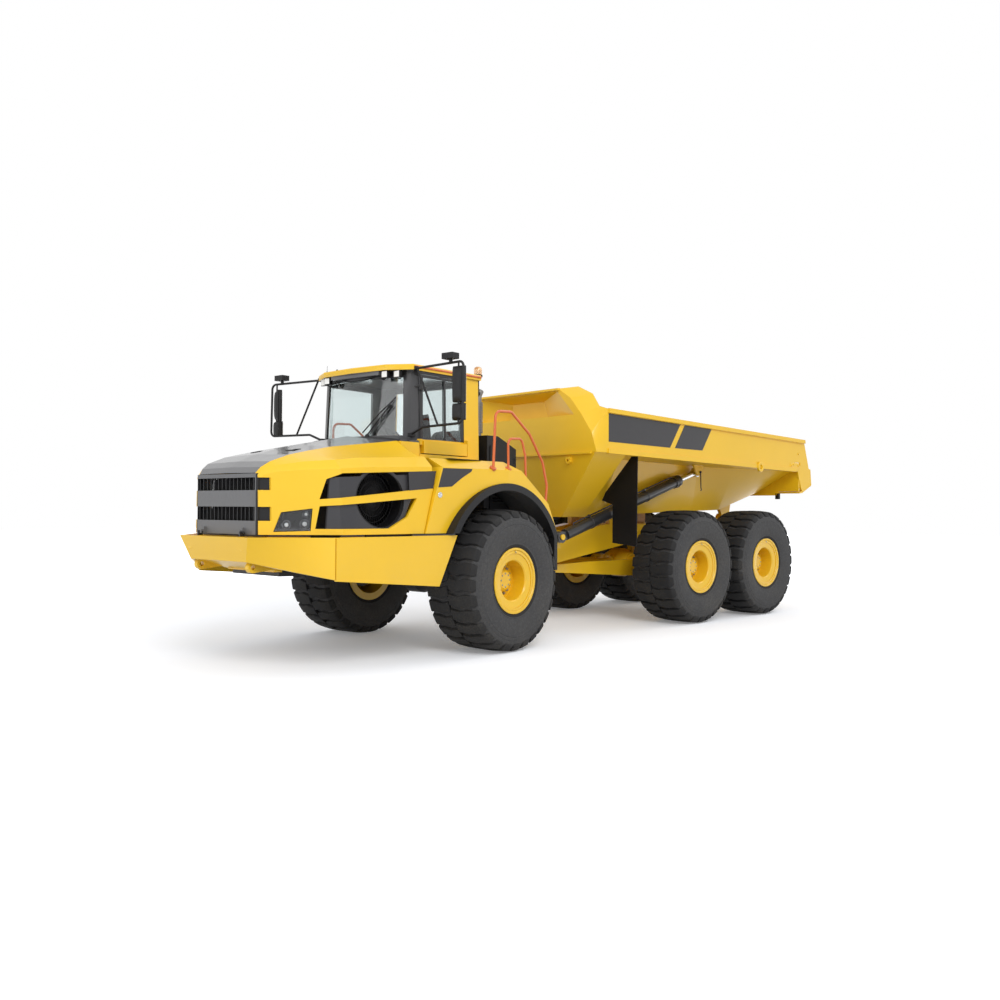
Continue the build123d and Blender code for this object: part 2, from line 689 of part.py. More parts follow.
def cab_shell():
    shell = cab_solid(0)
    hollow = cab_solid(CAB_WALL) & block(-1000, 2000, -1000, 1000, CAB_FLOOR_Z + CAB_WALL, CAB_TOP_Z + 1)
    shell -= hollow
    shell -= door_prism(0)
    for cut in (front_window(0), right_window(0), rear_window(0)):
        shell -= cut
    sill = block(-80, COWL_REAR - 10, CAB_SIDE_Y - 20, BAND_Y, DECK_Z + 12, SILL_Z - 6)
    sill += block(-80, DOOR_REAR - 6, CAB_SIDE_Y - 25, BAND_Y, DECK_Z + 12, BELT_Z)
    right = block(-80, COWL_REAR - 10, -BAND_Y, -CAB_SIDE_Y + 25, DECK_Z + 12, BELT_Z - 4)
    shell += (sill + right) - cab_solid(CAB_WALL - 5)
    low = RAIL_Z + RAIL_H
    mount = block(-120, 60, RAIL_Y, RAIL_Y + RAIL_T, low + FIT, CAB_FLOOR_Z + 5)
    front = block(860, 980, RAIL_Y + 20, RAIL_Y + RAIL_T, low + FIT, CAB_FLOOR_Z + 5)
    for z in HINGE_HEIGHTS:
        shell += block(HINGE_X - 12, HINGE_X + 12, 815, HINGE_Y, z + HINGE_H + FIT, z + 1.5 * HINGE_H)
        shell += Pos(HINGE_X, HINGE_Y, z + HINGE_H + FIT) * extrude(Circle(HINGE_R), HINGE_H / 2)
        shell += Pos(HINGE_X, HINGE_Y, z - 5) * extrude(Circle(HINGE_PIN_R), HINGE_H + 10)
    return shell + mount + mirrored(mount) + front + mirrored(front)


def cowl_ring(inset, low):
    half = [(0, 2692 - inset), (600, 2668 - inset), (930 - inset, 2628 - inset), (BAND_Y - inset, 2606 - inset),
            (BAND_Y - inset, low)]
    return half + [(-y, z) for y, z in reversed(half[1:])]


def cowl():
    """Closes the space between the windscreen's foot and the rear edge of the hood."""
    top_x = HOOD_EDGE[0][0] - EDGE_GAP
    shell = prism_x(cowl_ring(0, DECK_Z + 24), COWL_REAR, top_x)
    shell -= prism_x(cowl_ring(SKIN, DECK_Z), COWL_REAR + SKIN, top_x - SKIN)
    corner = [HOOD_EDGE[0], HOOD_EDGE[1], HOOD_EDGE[2], (HOOD_EDGE[2][0], 2300), (1400, 2300)]
    shell -= prism_y([(x - EDGE_GAP, z + 0.3 * EDGE_GAP) for x, z in corner], -1000, 1000)
    shell -= cab_solid(-FIT)
    return whole(shell)


def roof_plan(grow):
    side = [(CAB_REAR - 20 - grow, CAB_SIDE_Y + grow), (ROOF_CORNER_X + grow * 0.5, ROOF_CORNER_Y + grow),
            (1215 + grow, 572 + grow * 0.5)]
    return side + [(1255 + grow, 0)] + [(x, -y) for x, y in reversed(side)]


def cab_roof():
    plate = prism_z(roof_plan(0), CAB_TOP_Z + FIT, CAB_TOP_Z + ROOF_T)
    crown = prism_z(roof_plan(-110), CAB_TOP_Z + ROOF_T, CAB_TOP_Z + ROOF_T + 18)
    visor = prism_z([(1160, -460), (1215, -440), (1215, 440), (1160, 460)], CAB_TOP_Z - 50, CAB_TOP_Z + FIT + 1)
    return plate + crown + (visor - cab_solid(-FIT))


def glass_skin():
    return cab_solid(18) - cab_solid(18 + GLASS_T)


def cab_glass():
    skin = glass_skin()
    panes = [skin & front_window(-FIT), skin & right_window(-FIT), skin & rear_window(-FIT)]
    return whole(*panes)


def cab_door():
    panel = (cab_solid(2) - cab_solid(CAB_WALL - 5)) & door_prism(-6)
    panel -= door_window(0)
    band = block(DOOR_REAR + 6, DOOR_FRONT - 6, CAB_SIDE_Y - 30, BAND_Y, SILL_Z + 6, BELT_Z - 50)
    panel += band - cab_solid(CAB_WALL - 5)
    post_x = DOOR_REAR + 340
    panel += (cab_solid(4) - cab_solid(CAB_WALL - 10)) & prism_y(
        [(post_x, BELT_Z - 40), (post_x + 35, BELT_Z - 40), (post_x + 35, HEADER_Z + 20), (post_x, HEADER_Z + 20)],
        600, 1100)
    for z in HINGE_HEIGHTS:
        side = cab_side_y(z)
        panel += block(DOOR_FRONT - 70, DOOR_FRONT - 8, side - 10, HINGE_Y + 6, z, z + HINGE_H)
        panel += block(DOOR_FRONT - 10, HINGE_X, side + 6, HINGE_Y + 6, z, z + HINGE_H)
        panel += Pos(HINGE_X, HINGE_Y, z) * extrude(Circle(HINGE_R), HINGE_H)
        panel -= Pos(HINGE_X, HINGE_Y, z - 20) * extrude(Circle(HINGE_PIN_R + FIT), HINGE_H + 40)
    return panel


def door_glass():
    post_x = DOOR_REAR + 340
    pane = glass_skin() & door_window(-FIT)
    pane -= prism_y([(post_x - FIT, BELT_Z - 100), (post_x + 35 + FIT, BELT_Z - 100), (post_x + 35 + FIT, HEADER_Z + 100),
                     (post_x - FIT, HEADER_Z + 100)], 600, 1100)
    return whole(pane)


def seat():
    x, floor = 250, CAB_FLOOR_Z + CAB_WALL
    base = block(x - 180, x + 200, -190, 190, floor + FIT, floor + 250)
    cushion = block(x - 240, x + 280, -260, 260, floor + 250 + FIT, floor + 370)
    back = prism_y([(x - 240, floor + 370 + FIT), (x - 130, floor + 370 + FIT), (x - 210, floor + 1000),
                    (x - 310, floor + 1000)], -240, 240)
    return whole(base, cushion, back)


def dashboard():
    floor = CAB_FLOOR_Z + CAB_WALL
    desk = prism_y([(860, floor + FIT), (900, BELT_Z - 120), (700, BELT_Z - 20), (700, BELT_Z - 100), (800, BELT_Z - 200),
                    (800, floor + FIT)], -700, 700)
    column = bar((780, 0, BELT_Z - 140), (600, 0, BELT_Z + 40), 30)
    section = [(215 + 16 * cos(pi * (step + 0.5) / 3), 16 * sin(pi * (step + 0.5) / 3)) for step in range(6)]
    wheel = revolve(face_of([(radius, 0, z) for radius, z in section]), Axis.Z)
    wheel = Pos(600, 0, BELT_Z + 40) * (Rot(0, -45, 0) * wheel)
    hub = Pos(600, 0, BELT_Z + 40) * (Rot(0, -45, 0) * Box(2 * 205, 45, 14))
    return desk + column + wheel + hub


def fender_solid(inset, inner_y):
    """Prism of the fender's side outline, narrowed towards its front."""
    top, tip, foot = HOOD_EDGE[-3:]
    outline = [(foot[0] - EDGE_GAP, foot[1]), (tip[0] - EDGE_GAP, tip[1]), (top[0] - EDGE_GAP, DECK_Z - inset),
               (-110, DECK_Z - inset), (-860 + inset, 1870), (ARCH_REAR_X + inset, 1500), (ARCH_REAR_X + inset, foot[1])]
    solid = prism_y(outline, inner_y, FENDER_Y - inset)
    taper = prism_z([(FENDER_TAPER_X, FENDER_FRONT_Y - inset), (0, FENDER_Y - inset), (-400, FENDER_Y + 1 - inset),
                     (-400, 1800), (FENDER_TAPER_X, 1800)], 1300, 2600)
    return solid - taper - shoulder_cut(inset)


def shoulder_cut(inset):
    """Bevels the fender's outer top edge, as the hood's shoulder ahead of it."""
    faces = []
    for x, side_y in ((FENDER_TAPER_X, FENDER_FRONT_Y), (0, FENDER_Y), (ARCH_REAR_X - 100, FENDER_Y)):
        top = Vector(side_y - SHOULDER_Y, DECK_Z)
        foot = Vector(side_y, DECK_Z - SHOULDER_H)
        run = foot - top
        inwards = Vector(-SHOULDER_H, -SHOULDER_Y).normalized() * inset
        high, low = top - run * 0.6 + inwards, foot + run * 0.6 + inwards
        faces.append(face_of([(x, high.X, high.Y), (x, low.X, low.Y), (x, low.X + 60, high.Y + 60)]))
    return loft(faces, ruled=True)


def fenders():
    body = fender_solid(0, DECK_INNER_Y)
    inside = fender_solid(SKIN, DECK_INNER_Y - 50) & (Pos(-SKIN, 0, 0) * fender_solid(0, DECK_INNER_Y - 50))
    body -= inside
    body -= bar((0, 0, ARCH_Z), (0, 2000, ARCH_Z), ARCH_R + FIT)
    body -= block(-3000, 3000, 0, 2000, 1000, HOOD_LOW)
    return both(body)


def arch_liners():
    """Dark arches; the rear foot stays narrow so that the tipping cylinder passes at full lock."""
    ring = Pos(0, 0, ARCH_Z) * (Rot(-90, 0, 0) * extrude(Circle(ARCH_R) - Circle(ARCH_R - 26), 600))
    ring = Pos(0, DECK_INNER_Y, 0) * ring
    lip = Pos(0, FENDER_Y - 230, ARCH_Z) * (Rot(-90, 0, 0) * extrude(Circle(ARCH_R) - Circle(ARCH_R - ARCH_T), 240))
    liner = ring + lip
    keep = block(ARCH_REAR_X, 3000, 0, 3000, HOOD_LOW, 3000) + block(ARCH_REAR_X, 0, FENDER_Y - 220, 3000, ARCH_LOW, 3000)
    narrow = block(-3000, -900, 0, FENDER_Y - 220, 0, 1900)
    foot = block(ARCH_REAR_X, ARCH_REAR_X + 70, FENDER_Y - 230, FENDER_Y + 10, ARCH_LOW, 1480)
    return both(((liner & keep) - narrow) + foot)


def deck_frame():
    """Beams that carry the fenders and the black equipment bay behind the cab."""
    low, outer = RAIL_Z + RAIL_H, RAIL_Y + RAIL_T
    beam = block(-330, -230, 0, DECK_INNER_Y - FIT, low + FIT + 500, low + 620)
    post = block(-330, -230, RAIL_Y, outer, low + FIT, low + 510)
    beam += post + block(-330, -230, DECK_INNER_Y - 60, DECK_INNER_Y - FIT, low + 600, DECK_Z - 60)
    front = block(1150, 1240, outer - 90, 1300, low + FIT, low + 100)
    front += block(1150, 1240, 1240, 1300, low + 90, HOOD_LOW + 60)
    return whole(beam + mirrored(beam), both(front))


def equipment_bay():
    outline = [(-960, 1700), (-960, 2620), (-560, BAY_TOP), (-330 - FIT, BAY_TOP), (-330 - FIT, 1700)]
    tank = prism_y(outline, -920, 920)
    return tank


def handrails():
    """A tall and a small hoop beside the way up, on the outer edge of each fender."""
    foot = DECK_Z - SHOULDER_H - 20
    tall = pipe([(265, RAIL_HOOP_Y, foot), (225, RAIL_HOOP_Y, 3020), (-90, RAIL_HOOP_Y, 3035),
                 (-480, RAIL_HOOP_Y, 2775), (-770, RAIL_HOOP_Y, 2420), (-870, RAIL_HOOP_Y, 2110),
                 (-835, RAIL_HOOP_Y, 1830)], 17, 95)
    small = pipe([(-40, RAIL_HOOP_Y, foot), (-30, RAIL_HOOP_Y, 2690), (-310, RAIL_HOOP_Y, 2705),
                  (-390, RAIL_HOOP_Y, 2490), (-405, RAIL_HOOP_Y, 2140)], 15, 80)
    wing = fender_solid(-FIT, DECK_INNER_Y)
    return both(whole(tall - wing, small - wing))


def exhaust_stack():
    x, y = -400, 700
    return bar((x, y, BAY_TOP + FIT), (x, y, 3330), 45) + bar((x, y, 3325), (x - 45, y, 3400), 45)


# Mirror heads: place across the rod, turn about it, width, depth, foot and top
MIRROR_HEADS = [(1, 0, 170, 60, 3040, 3460), (1, 0, 170, 60, 2830, 3025),
                (-1, 30, 170, 60, 3000, 3430), (-1, 20, 150, 70, 2785, 2995)]


def mirror_frame():
    """Tube frame on the left, with its rod and its brace, in one piece."""
    x, out, top, low = MIRROR_X, MIRROR_OUT_Y, MIRROR_TOP, MIRROR_LOW
    corner_x, corner_y = ROOF_CORNER_X - 28, ROOF_CORNER_Y + 25
    frame = pipe([(corner_x, corner_y, top + 5), (x, out, top), (x + 15, out, low), (1053, 1056, low - 5),
                  (1040, 850, low - 80)], 15, 70)
    frame += bar((x - 10, MIRROR_ROD_Y, low - 4), (x - 12, MIRROR_ROD_Y, top + 3), 11)
    frame += bar((corner_x + 5, corner_y + 20, top + 4), (1068, 1315, low), 13)
    frame += block(corner_x - 30, corner_x + 20, corner_y - 45, corner_y + 10, top - 12, CAB_TOP_Z + 40)
    frame += block(985, 1055, 800, 865, low - 110, low - 65)
    camera = block(x - 60, x + 60, 1480, 1650, top + 40, top + 110)
    camera += bar((x - 8, 1565, top - 5), (x - 8, 1565, top + 45), 22)
    return frame + camera


def mirrors():
    frames = {1: mirror_frame(), -1: mirrored(mirror_frame())}
    for side, turned, width, depth, low, high in MIRROR_HEADS:
        head = extrude(RectangleRounded(depth, width, 25), high - low)
        frames[side] += Pos(MIRROR_X - 45, side * (MIRROR_ROD_Y - 10), low) * (Rot(0, 0, side * turned) * head)
    return whole(*[frame - cab_solid(-FIT) - cab_roof() for frame in frames.values()])


def work_lamps():
    lamps = []
    for x, y in ((1080, -681), (1145, -535), (1145, 535), (1080, 681)):
        lamps.append(block(x, x + 60, y - 50, y + 50, CAB_TOP_Z - 95, CAB_TOP_Z))
    x, y = CAB_REAR - 70, 810
    beacon = Pos(x, y, 3635) * Cylinder(60, 130)
    post = bar((x, y, 3300), (x, y, 3580), 20)
    post += block(x - 20, CAB_REAR - FIT, y - 20, y + 20, 3320, 3360)
    return whole(*lamps, beacon + post)


def hitch_yoke():
    """Turns on the hitch pin and carries the rear frame on its long trunnion."""
    low = TWIST_Z - LUG_GAP / 2 + FIT
    high = TWIST_Z + LUG_GAP / 2 - FIT
    yoke = Pos(HITCH_X, 0, low) * extrude(Circle(YOKE_R), high - low)
    yoke += block(HITCH_X - YOKE_REACH, HITCH_X, -YOKE_R, YOKE_R, low + 30, high - 30)
    flange = HITCH_X - YOKE_REACH
    yoke += bar((flange, 0, TWIST_Z), (flange - FLANGE_T, 0, TWIST_Z), FLANGE_R)
    yoke += bar((flange, 0, TWIST_Z), (flange - FLANGE_T - TRUNNION_L, 0, TWIST_Z), TRUNNION_R)
    yoke -= bar((HITCH_X, 0, low - 50), (HITCH_X, 0, high + 50), HITCH_PIN_R + FIT)
    arm = prism_z([(STEER_EYE_X - 70, 100), (STEER_EYE_X + 130, 100), (STEER_EYE_X + 45, STEER_EYE_Y + 45),
                   (STEER_EYE_X - 45, STEER_EYE_Y + 45)], low + 20, STEER_Z - 42)
    return yoke + arm + mirrored(arm)


def cross_member_x():
    """Rear face of the rear frame's first cross member."""
    return HITCH_X - YOKE_REACH - FLANGE_T - FIT - TRUNNION_L - 140


def rear_frame():
    ring_front = HITCH_X - YOKE_REACH - FLANGE_T - FIT
    ring_back = ring_front - TRUNNION_L - 40
    frame = bar((ring_front, 0, TWIST_Z), (ring_back, 0, TWIST_Z), FLANGE_R + 40)
    side = [(ring_front - 60, 1300), (-2050, 1310), (-3600, 1560), (REAR_RAIL_END, 1560), (REAR_RAIL_END, 1340),
            (-4150, 1230), (-2350, 960), (ring_front - 60, 840)]
    rail = prism_y(side, REAR_RAIL_Y - 60, REAR_RAIL_Y + REAR_RAIL_T)
    frame += rail + mirrored(rail)
    outer = REAR_RAIL_Y + REAR_RAIL_T
    for x, z_low in ((ring_back - 100, 900), (-3700, 1250), (BOGIE_X - 120, 1250), (-6850, 1380)):
        frame += block(x, x + 240, -outer + 20, outer - 20, z_low, 1500 if x < -3000 else 1290)
    hanger = prism_y([(BOGIE_X - 260, 1400), (BOGIE_X + 260, 1400), (BOGIE_X + 130, BOGIE_Z - 110),
                      (BOGIE_X - 130, BOGIE_Z - 110)], REAR_RAIL_Y, outer)
    frame += hanger + mirrored(hanger)
    pin = bar((BOGIE_X, REAR_RAIL_Y + 5, BOGIE_Z), (BOGIE_X, BEAM_Y + BEAM_T + 30, BOGIE_Z), BOGIE_PIN_R)
    frame += pin + mirrored(pin)
    foot = block(FOOT_X - 110, FOOT_X + 110, outer - 20, HOIST_Y - BARREL_R - 10, FOOT_Z - 170, FOOT_Z + 90)
    pin = bar((FOOT_X, outer, FOOT_Z), (FOOT_X, HOIST_Y + EYE_T / 2 + 20, FOOT_Z), HOIST_PIN_R)
    frame += foot + pin + mirrored(foot) + mirrored(pin)
    boss = bar((TIP_X, outer - 90, TIP_Z), (TIP_X, outer - 5, TIP_Z), 95)
    boss += block(TIP_X - 95, TIP_X + 95, outer - 90, outer - 5, 1500, TIP_Z)
    pin = bar((TIP_X, outer - 60, TIP_Z), (TIP_X, outer + 110, TIP_Z), TIP_PIN_R)
    frame += boss + pin + mirrored(boss) + mirrored(pin)
    for x_low, x_high in ((-4200, -3700), (-5700, -5200)):
        pad = [(x_high, 1550), (x_low, 1550), (x_low, floor_under(x_low) - FIT), (x_high, floor_under(x_high) - FIT)]
        pad = prism_y(pad, outer - 90, outer)
        frame += pad + mirrored(pad)
    ring = bar((ring_front + 50, 0, TWIST_Z), (ring_front - TRUNNION_L - 5, 0, TWIST_Z), TRUNNION_R + FIT)
    return frame - ring


def floor_under(x):
    """Height of the underside of the dump body's floor."""
    if x < KICK_X:
        return KICK_Z + (KICK_X - x) / (KICK_X - CHUTE_X) * (CHUTE_Z - KICK_Z)
    return FLOOR_Z + (FLOOR_FRONT - x) / (FLOOR_FRONT - KICK_X) * (KICK_Z - FLOOR_Z)


def bogie_beams():
    outline = [(MIDDLE_X + 190, HUB_Z - 120), (MIDDLE_X + 190, HUB_Z + 120), (BOGIE_X + 200, BOGIE_Z + 150),
               (BOGIE_X - 200, BOGIE_Z + 150), (REAR_X - 190, HUB_Z + 120), (REAR_X - 190, HUB_Z - 120),
               (BOGIE_X - 200, BOGIE_Z - 170), (BOGIE_X + 200, BOGIE_Z - 170)]
    beam = prism_y(outline, BEAM_Y, BEAM_Y + BEAM_T)
    for x, z, radius in ((MIDDLE_X, HUB_Z, AXLE_R), (REAR_X, HUB_Z, AXLE_R), (BOGIE_X, BOGIE_Z, BOGIE_PIN_R)):
        beam -= bar((x, BEAM_Y - 50, z), (x, BEAM_Y + BEAM_T + 50, z), radius + FIT)
    return both(beam)


def rear_axles():
    shaft_z = HUB_Z + 30
    shaft = bar((MIDDLE_X + DIFF_R + 50, 0, shaft_z), (-2300, 0, shaft_z), 60)
    link = bar((MIDDLE_X - DIFF_R - 120, 0, shaft_z), (REAR_X + DIFF_R + 50, 0, shaft_z), 60)
    front = Pos(MIDDLE_X, 0, HUB_Z) * axle_beam()
    back = Pos(REAR_X, 0, HUB_Z) * axle_beam()
    ahead = cross_member_x() - FIT
    arm = prism_z([(ahead, 130), (ahead, 270), (MIDDLE_X + 70, BEAM_Y - 12), (MIDDLE_X + 70, BEAM_Y - 120)], 600, 1100)
    arm &= prism_y([(ahead, 845), (ahead, 925), (-3300, 965), (MIDDLE_X + 70, 975), (MIDDLE_X + 70, 690)], 0, 1000)
    return front + shaft + link + back + arm + mirrored(arm)


def band_low(x):
    share = (BODY_FRONT - x) / (BODY_FRONT - CHUTE_X)
    return BAND_LOW_FRONT + share * (BAND_LOW_REAR - BAND_LOW_FRONT)


def body_upper(inset):
    """The upper, full-width box of the dump body as a side outline, open at the top."""
    top = 300 if inset else 0
    past = 400 if inset else 0
    front = SIDE_FRONT + inset
    outline = [(front, band_low(front) + inset), (front, BAND_TOP_FRONT + top), (-7868 - past, BAND_TOP_REAR + top),
               (-8120 - past, 2390 + inset), (CHUTE_X - past, band_low(CHUTE_X) + inset)]
    return prism_y(outline, -BODY_Y + inset, BODY_Y - inset)


# Rim of the headboard from the ridge down: front edge and rear edge, as (y, z) each
HEAD_RIM = [((850, 3570), (1030, 3610)), ((1093, 3414), (1310, 3480)), ((1310, 3157), (1440, 3290)),
            ((1500, 2892), (BODY_Y, 3240)), ((BODY_Y - 15, 2640), (BODY_Y, 2640)), ((BODY_Y - 15, 2610), (BODY_Y, 2610))]


def head_solid(inset):
    """Outside of the headboard between its front edge and the side walls."""
    rings = []
    for column, x in ((0, BODY_FRONT - inset), (1, SIDE_FRONT - (60 if inset else 0))):
        half = [(row[column][0] - inset, row[column][1] - inset) for row in HEAD_RIM[:4]]
        half += [(row[column][0] - inset, row[column][1] + (0 if inset else 0)) for row in HEAD_RIM[4:5]]
        half += [(HEAD_RIM[5][column][0] - inset, HEAD_RIM[5][column][1] - (60 if inset else 0))]
        ring = half + [(-y, z) for y, z in reversed(half)]
        rings.append(face_of([(x, y, z) for y, z in ring]))
    return loft(rings, ruled=True)


def head_pocket(grow):
    """The upper half of the headboard is a pocket that narrows towards the load."""
    front = [(1240 + grow, 3165 - grow), (860 + grow, 3530 + grow)]
    back = [(410 + grow, 3195 - grow), (330 + grow, 3436 + grow)]
    rings = []
    for half, x in ((front, BODY_FRONT + (0 if grow else 50)), (back, SIDE_FRONT - grow)):
        if x > BODY_FRONT:
            half = [(y + 80, z + (15 if z > 3300 else -5)) for y, z in half]
        ring = half + [(-y, z) for y, z in reversed(half)]
        rings.append(face_of([(x, y, z) for y, z in ring]))
    return loft(rings, ruled=True)


def headboard():
    skin = BODY_T
    board = head_solid(0) - head_solid(skin)
    behind = block(SIDE_FRONT - skin - 10, SIDE_FRONT + 1, -600, 600, 3120, 3520)
    board += head_pocket(skin) & (head_solid(0) + behind)
    board -= head_pocket(0)
    fold = block(BODY_FRONT - 10, BODY_FRONT + 22, -1500, 1500, BAND_LOW_FRONT - 20, BAND_LOW_FRONT + 15)
    ridge = prism_y([(BODY_FRONT - 20, 3540), (BODY_FRONT - 20, 3578), (BODY_FRONT + 45, 3572), (BODY_FRONT + 45, 3540)],
                    -870, 870)
    eye = prism_x([(1000, 2560), (1100, 2560), (1090, 2480), (1050, 2455), (1010, 2480)], BODY_FRONT - 60, BODY_FRONT + 12)
    eye -= bar((BODY_FRONT - 100, 1050, 2505), (BODY_FRONT + 50, 1050, 2505), 22)
    return board + fold + ridge + eye


# Hopper sections behind the front: x, floor z, half width at the floor, half width at the band
HOPPER = [(-2900, 700, 850), (-5600, 720, 850), (CHUTE_X, 750, 1470)]


def hopper_ring(row, inset):
    x, low_y, high_y = row
    high = band_low(BODY_FRONT) + 60 if inset > 0 else band_low(x) + 20
    low = floor_under(x) + inset
    slope = (high_y - low_y) / (band_low(x) + 20 - floor_under(x))
    wide = high_y - inset + slope * (high - band_low(x) - 20)
    narrow = low_y - inset + slope * inset
    return face_of([(x, -narrow, low), (x, narrow, low), (x, wide, high), (x, -wide, high)])


def body_lower(inset):
    """The hopper under the band: steep front, straight belly and a chute that widens to the tail."""
    rows = list(HOPPER)
    if inset > 0:
        rows[-1] = (CHUTE_X - 40, 750, 1470)
    belly = loft([hopper_ring(row, inset) for row in rows[:2]], ruled=True)
    kick = hopper_ring((KICK_X, 731, 1086), inset)
    belly += loft([hopper_ring(rows[1], inset), kick, hopper_ring(rows[2], inset)], ruled=True)
    top_z = band_low(BODY_FRONT) + (60 if inset > 0 else 20)
    front_top, front_low = BODY_FRONT - inset, FLOOR_FRONT - inset
    rear = POD_REAR - (60 if inset > 0 else 0)
    low = face_of([(front_low, FLOOR_Y - inset, FLOOR_Z + inset), (rear, FLOOR_Y - inset, FLOOR_Z + inset),
                   (rear, -FLOOR_Y + inset, FLOOR_Z + inset), (front_low, -FLOOR_Y + inset, FLOOR_Z + inset)])
    high = face_of([(front_top, BODY_Y - inset - 15, top_z), (rear, BODY_Y - inset - 15, top_z),
                    (rear, -BODY_Y + inset + 15, top_z), (front_top, -BODY_Y + inset + 15, top_z)])
    pod = loft([low, high], ruled=True)
    low_y, high_y = FLOOR_Y - inset, BODY_Y - inset - 15
    back_low = face_of([(rear + 1, low_y, FLOOR_Z + inset), (POD_END, low_y - 20, FLOOR_Z + inset),
                        (POD_END, -1, FLOOR_Z + inset), (rear + 1, -1, FLOOR_Z + inset)])
    back_high = face_of([(rear + 1, high_y, top_z), (POD_END, 950 - inset, top_z), (POD_END, -1, top_z), (rear + 1, -1, top_z)])
    back = loft([back_low, back_high], ruled=True)
    return pod + belly + back + mirrored(back)


def dump_body():
    shell = body_upper(0) + body_lower(0)
    shell -= body_upper(BODY_T)
    shell -= body_lower(BODY_T)
    side = [(CHUTE_X + 40, band_low(CHUTE_X) + 10), (-7690, 2401), (-7782, 2197), (-7828, 2140), (-8152, 2297),
            (-8120, 2560), (-7800, 2600)]
    post = prism_y(side, BODY_Y - BODY_T, BODY_Y)
    rail = [(SIDE_FRONT, BAND_TOP_FRONT - 60), (SIDE_FRONT, BAND_TOP_FRONT + 5), (-7868, BAND_TOP_REAR + 5),
            (-7885, BAND_TOP_REAR - 60)]
    rail = prism_y(rail, BODY_Y - BODY_T, BODY_Y + 32)
    lip = [(SIDE_FRONT, BAND_LOW_FRONT - 10), (SIDE_FRONT, BAND_LOW_FRONT + 60), (-7660, band_low(CHUTE_X) + 60),
           (-7560, band_low(CHUTE_X) - 10)]
    lip = prism_y(lip, BODY_Y - BODY_T, BODY_Y + 20)
    ear_y = REAR_RAIL_Y + REAR_RAIL_T + 20
    ear = prism_y([(TIP_X - 170, floor_under(TIP_X - 170) + 15), (TIP_X + 260, floor_under(TIP_X + 260) + 15),
                   (TIP_X + 95, TIP_Z), (TIP_X, TIP_Z - 80), (TIP_X - 80, TIP_Z)], ear_y, ear_y + 60)
    ear -= bar((TIP_X, ear_y - 50, TIP_Z), (TIP_X, ear_y + 100, TIP_Z), TIP_PIN_R + FIT)
    plate_y = HOIST_Y + EYE_T / 2 + 16
    bracket = prism_y([(EYE_X - 110, band_low(EYE_X) + 20), (EYE_X + 190, band_low(EYE_X) + 20), (EYE_X + 60, EYE_Z - 60),
                       (EYE_X - 60, EYE_Z - 60)], plate_y, plate_y + 30)
    for piece in (post, rail, lip, ear, bracket):
        shell += piece + mirrored(piece)
    shell += tail_plate()
    return shell + headboard()


def tail_plate():
    """Closes the space under the band at the tail, from the chute out to the side walls."""
    inner = CHUTE_X - 60
    outline = [(-1150, 2075), (1150, 2075), (1180, 2150), (BODY_Y - 10, 2150), (BODY_Y - 10, band_low(CHUTE_X) + 30),
               (-BODY_Y + 10, band_low(CHUTE_X) + 30), (-BODY_Y + 10, 2150), (-1180, 2150)]
    plate = prism_x(outline, CHUTE_X - 35, CHUTE_X)
    plate -= body_lower(BODY_T)
    floor = prism_y([(CHUTE_X - 30, CHUTE_Z), (CHUTE_X - 30, CHUTE_Z - 30), (-7830, CHUTE_Z - 20), (-8160, CHUTE_Z + 120),
                     (-8165, CHUTE_Z + 155), (-7830, CHUTE_Z + 12)], -BODY_Y + 5, BODY_Y - 5)
    return plate + floor


def mud_flaps():
    """Rubber plates across the body, ahead of the middle wheels, hung from the band's lower edge."""
    top = band_low(FLAP_X) - FIT
    outline = [(790, 1945), (1040, 1872), (1040, 1285), (1503, 1244), (1515, top), (1400, top)]
    flap = prism_x(outline, FLAP_X - 7, FLAP_X + 7) - body_lower(-FIT)
    return both(flap)


def hoist_angle():
    return degrees(atan2(EYE_Z - FOOT_Z, FOOT_X - EYE_X))


def hoist_length():
    return hypot(EYE_Z - FOOT_Z, FOOT_X - EYE_X)


def place_hoist(shape):
    """Shape lies along -x from the foot pin at the origin."""
    return Pos(FOOT_X, HOIST_Y, FOOT_Z) * (Rot(0, hoist_angle(), 0) * shape)


def hoist_barrel():
    head = HEAD_GAP - hoist_length()
    tube = bar((-110, 0, 0), (head, 0, 0), BARREL_R)
    tube += bar((head + 130, 0, 0), (head - 20, 0, 0), BARREL_R + 12)
    tube += bar((0, -EYE_T / 2, 0), (0, EYE_T / 2, 0), EYE_R + 5)
    tube += block(-150, 0, -EYE_T / 2, EYE_T / 2, -60, 60)
    tube -= bar((-200, 0, 0), (head + 60, 0, 0), BARREL_BORE)
    tube -= bar((-300, 0, 0), (head - 50, 0, 0), HOIST_ROD_R + FIT)
    tube -= bar((0, -100, 0), (0, 100, 0), HOIST_PIN_R + FIT)
    return tube


def hoist_rod():
    eye = -hoist_length()
    piston = -PISTON_PARKED
    rod = bar((piston, 0, 0), (eye + 60, 0, 0), HOIST_ROD_R)
    rod += bar((piston, 0, 0), (piston - 80, 0, 0), BARREL_BORE - FIT)
    rod += Pos(eye, 0, 0) * bar((0, -EYE_T / 2, 0), (0, EYE_T / 2, 0), EYE_R)
    rod += Pos(eye, 0, 0) * bar((0, -EYE_T / 2 - 8, 0), (0, EYE_T / 2 + 8, 0), HOIST_PIN_R)
    return rod


def steer_eye_now():
    """Where the left steering cylinder's eye is when parked."""
    turn = radians(PARKED_STEER)
    eyes = []
    for side in (1, -1):
        x, y = STEER_EYE_X - HITCH_X, side * STEER_EYE_Y
        eyes.append((HITCH_X + cos(turn) * x - sin(turn) * y, sin(turn) * x + cos(turn) * y))
    return eyes


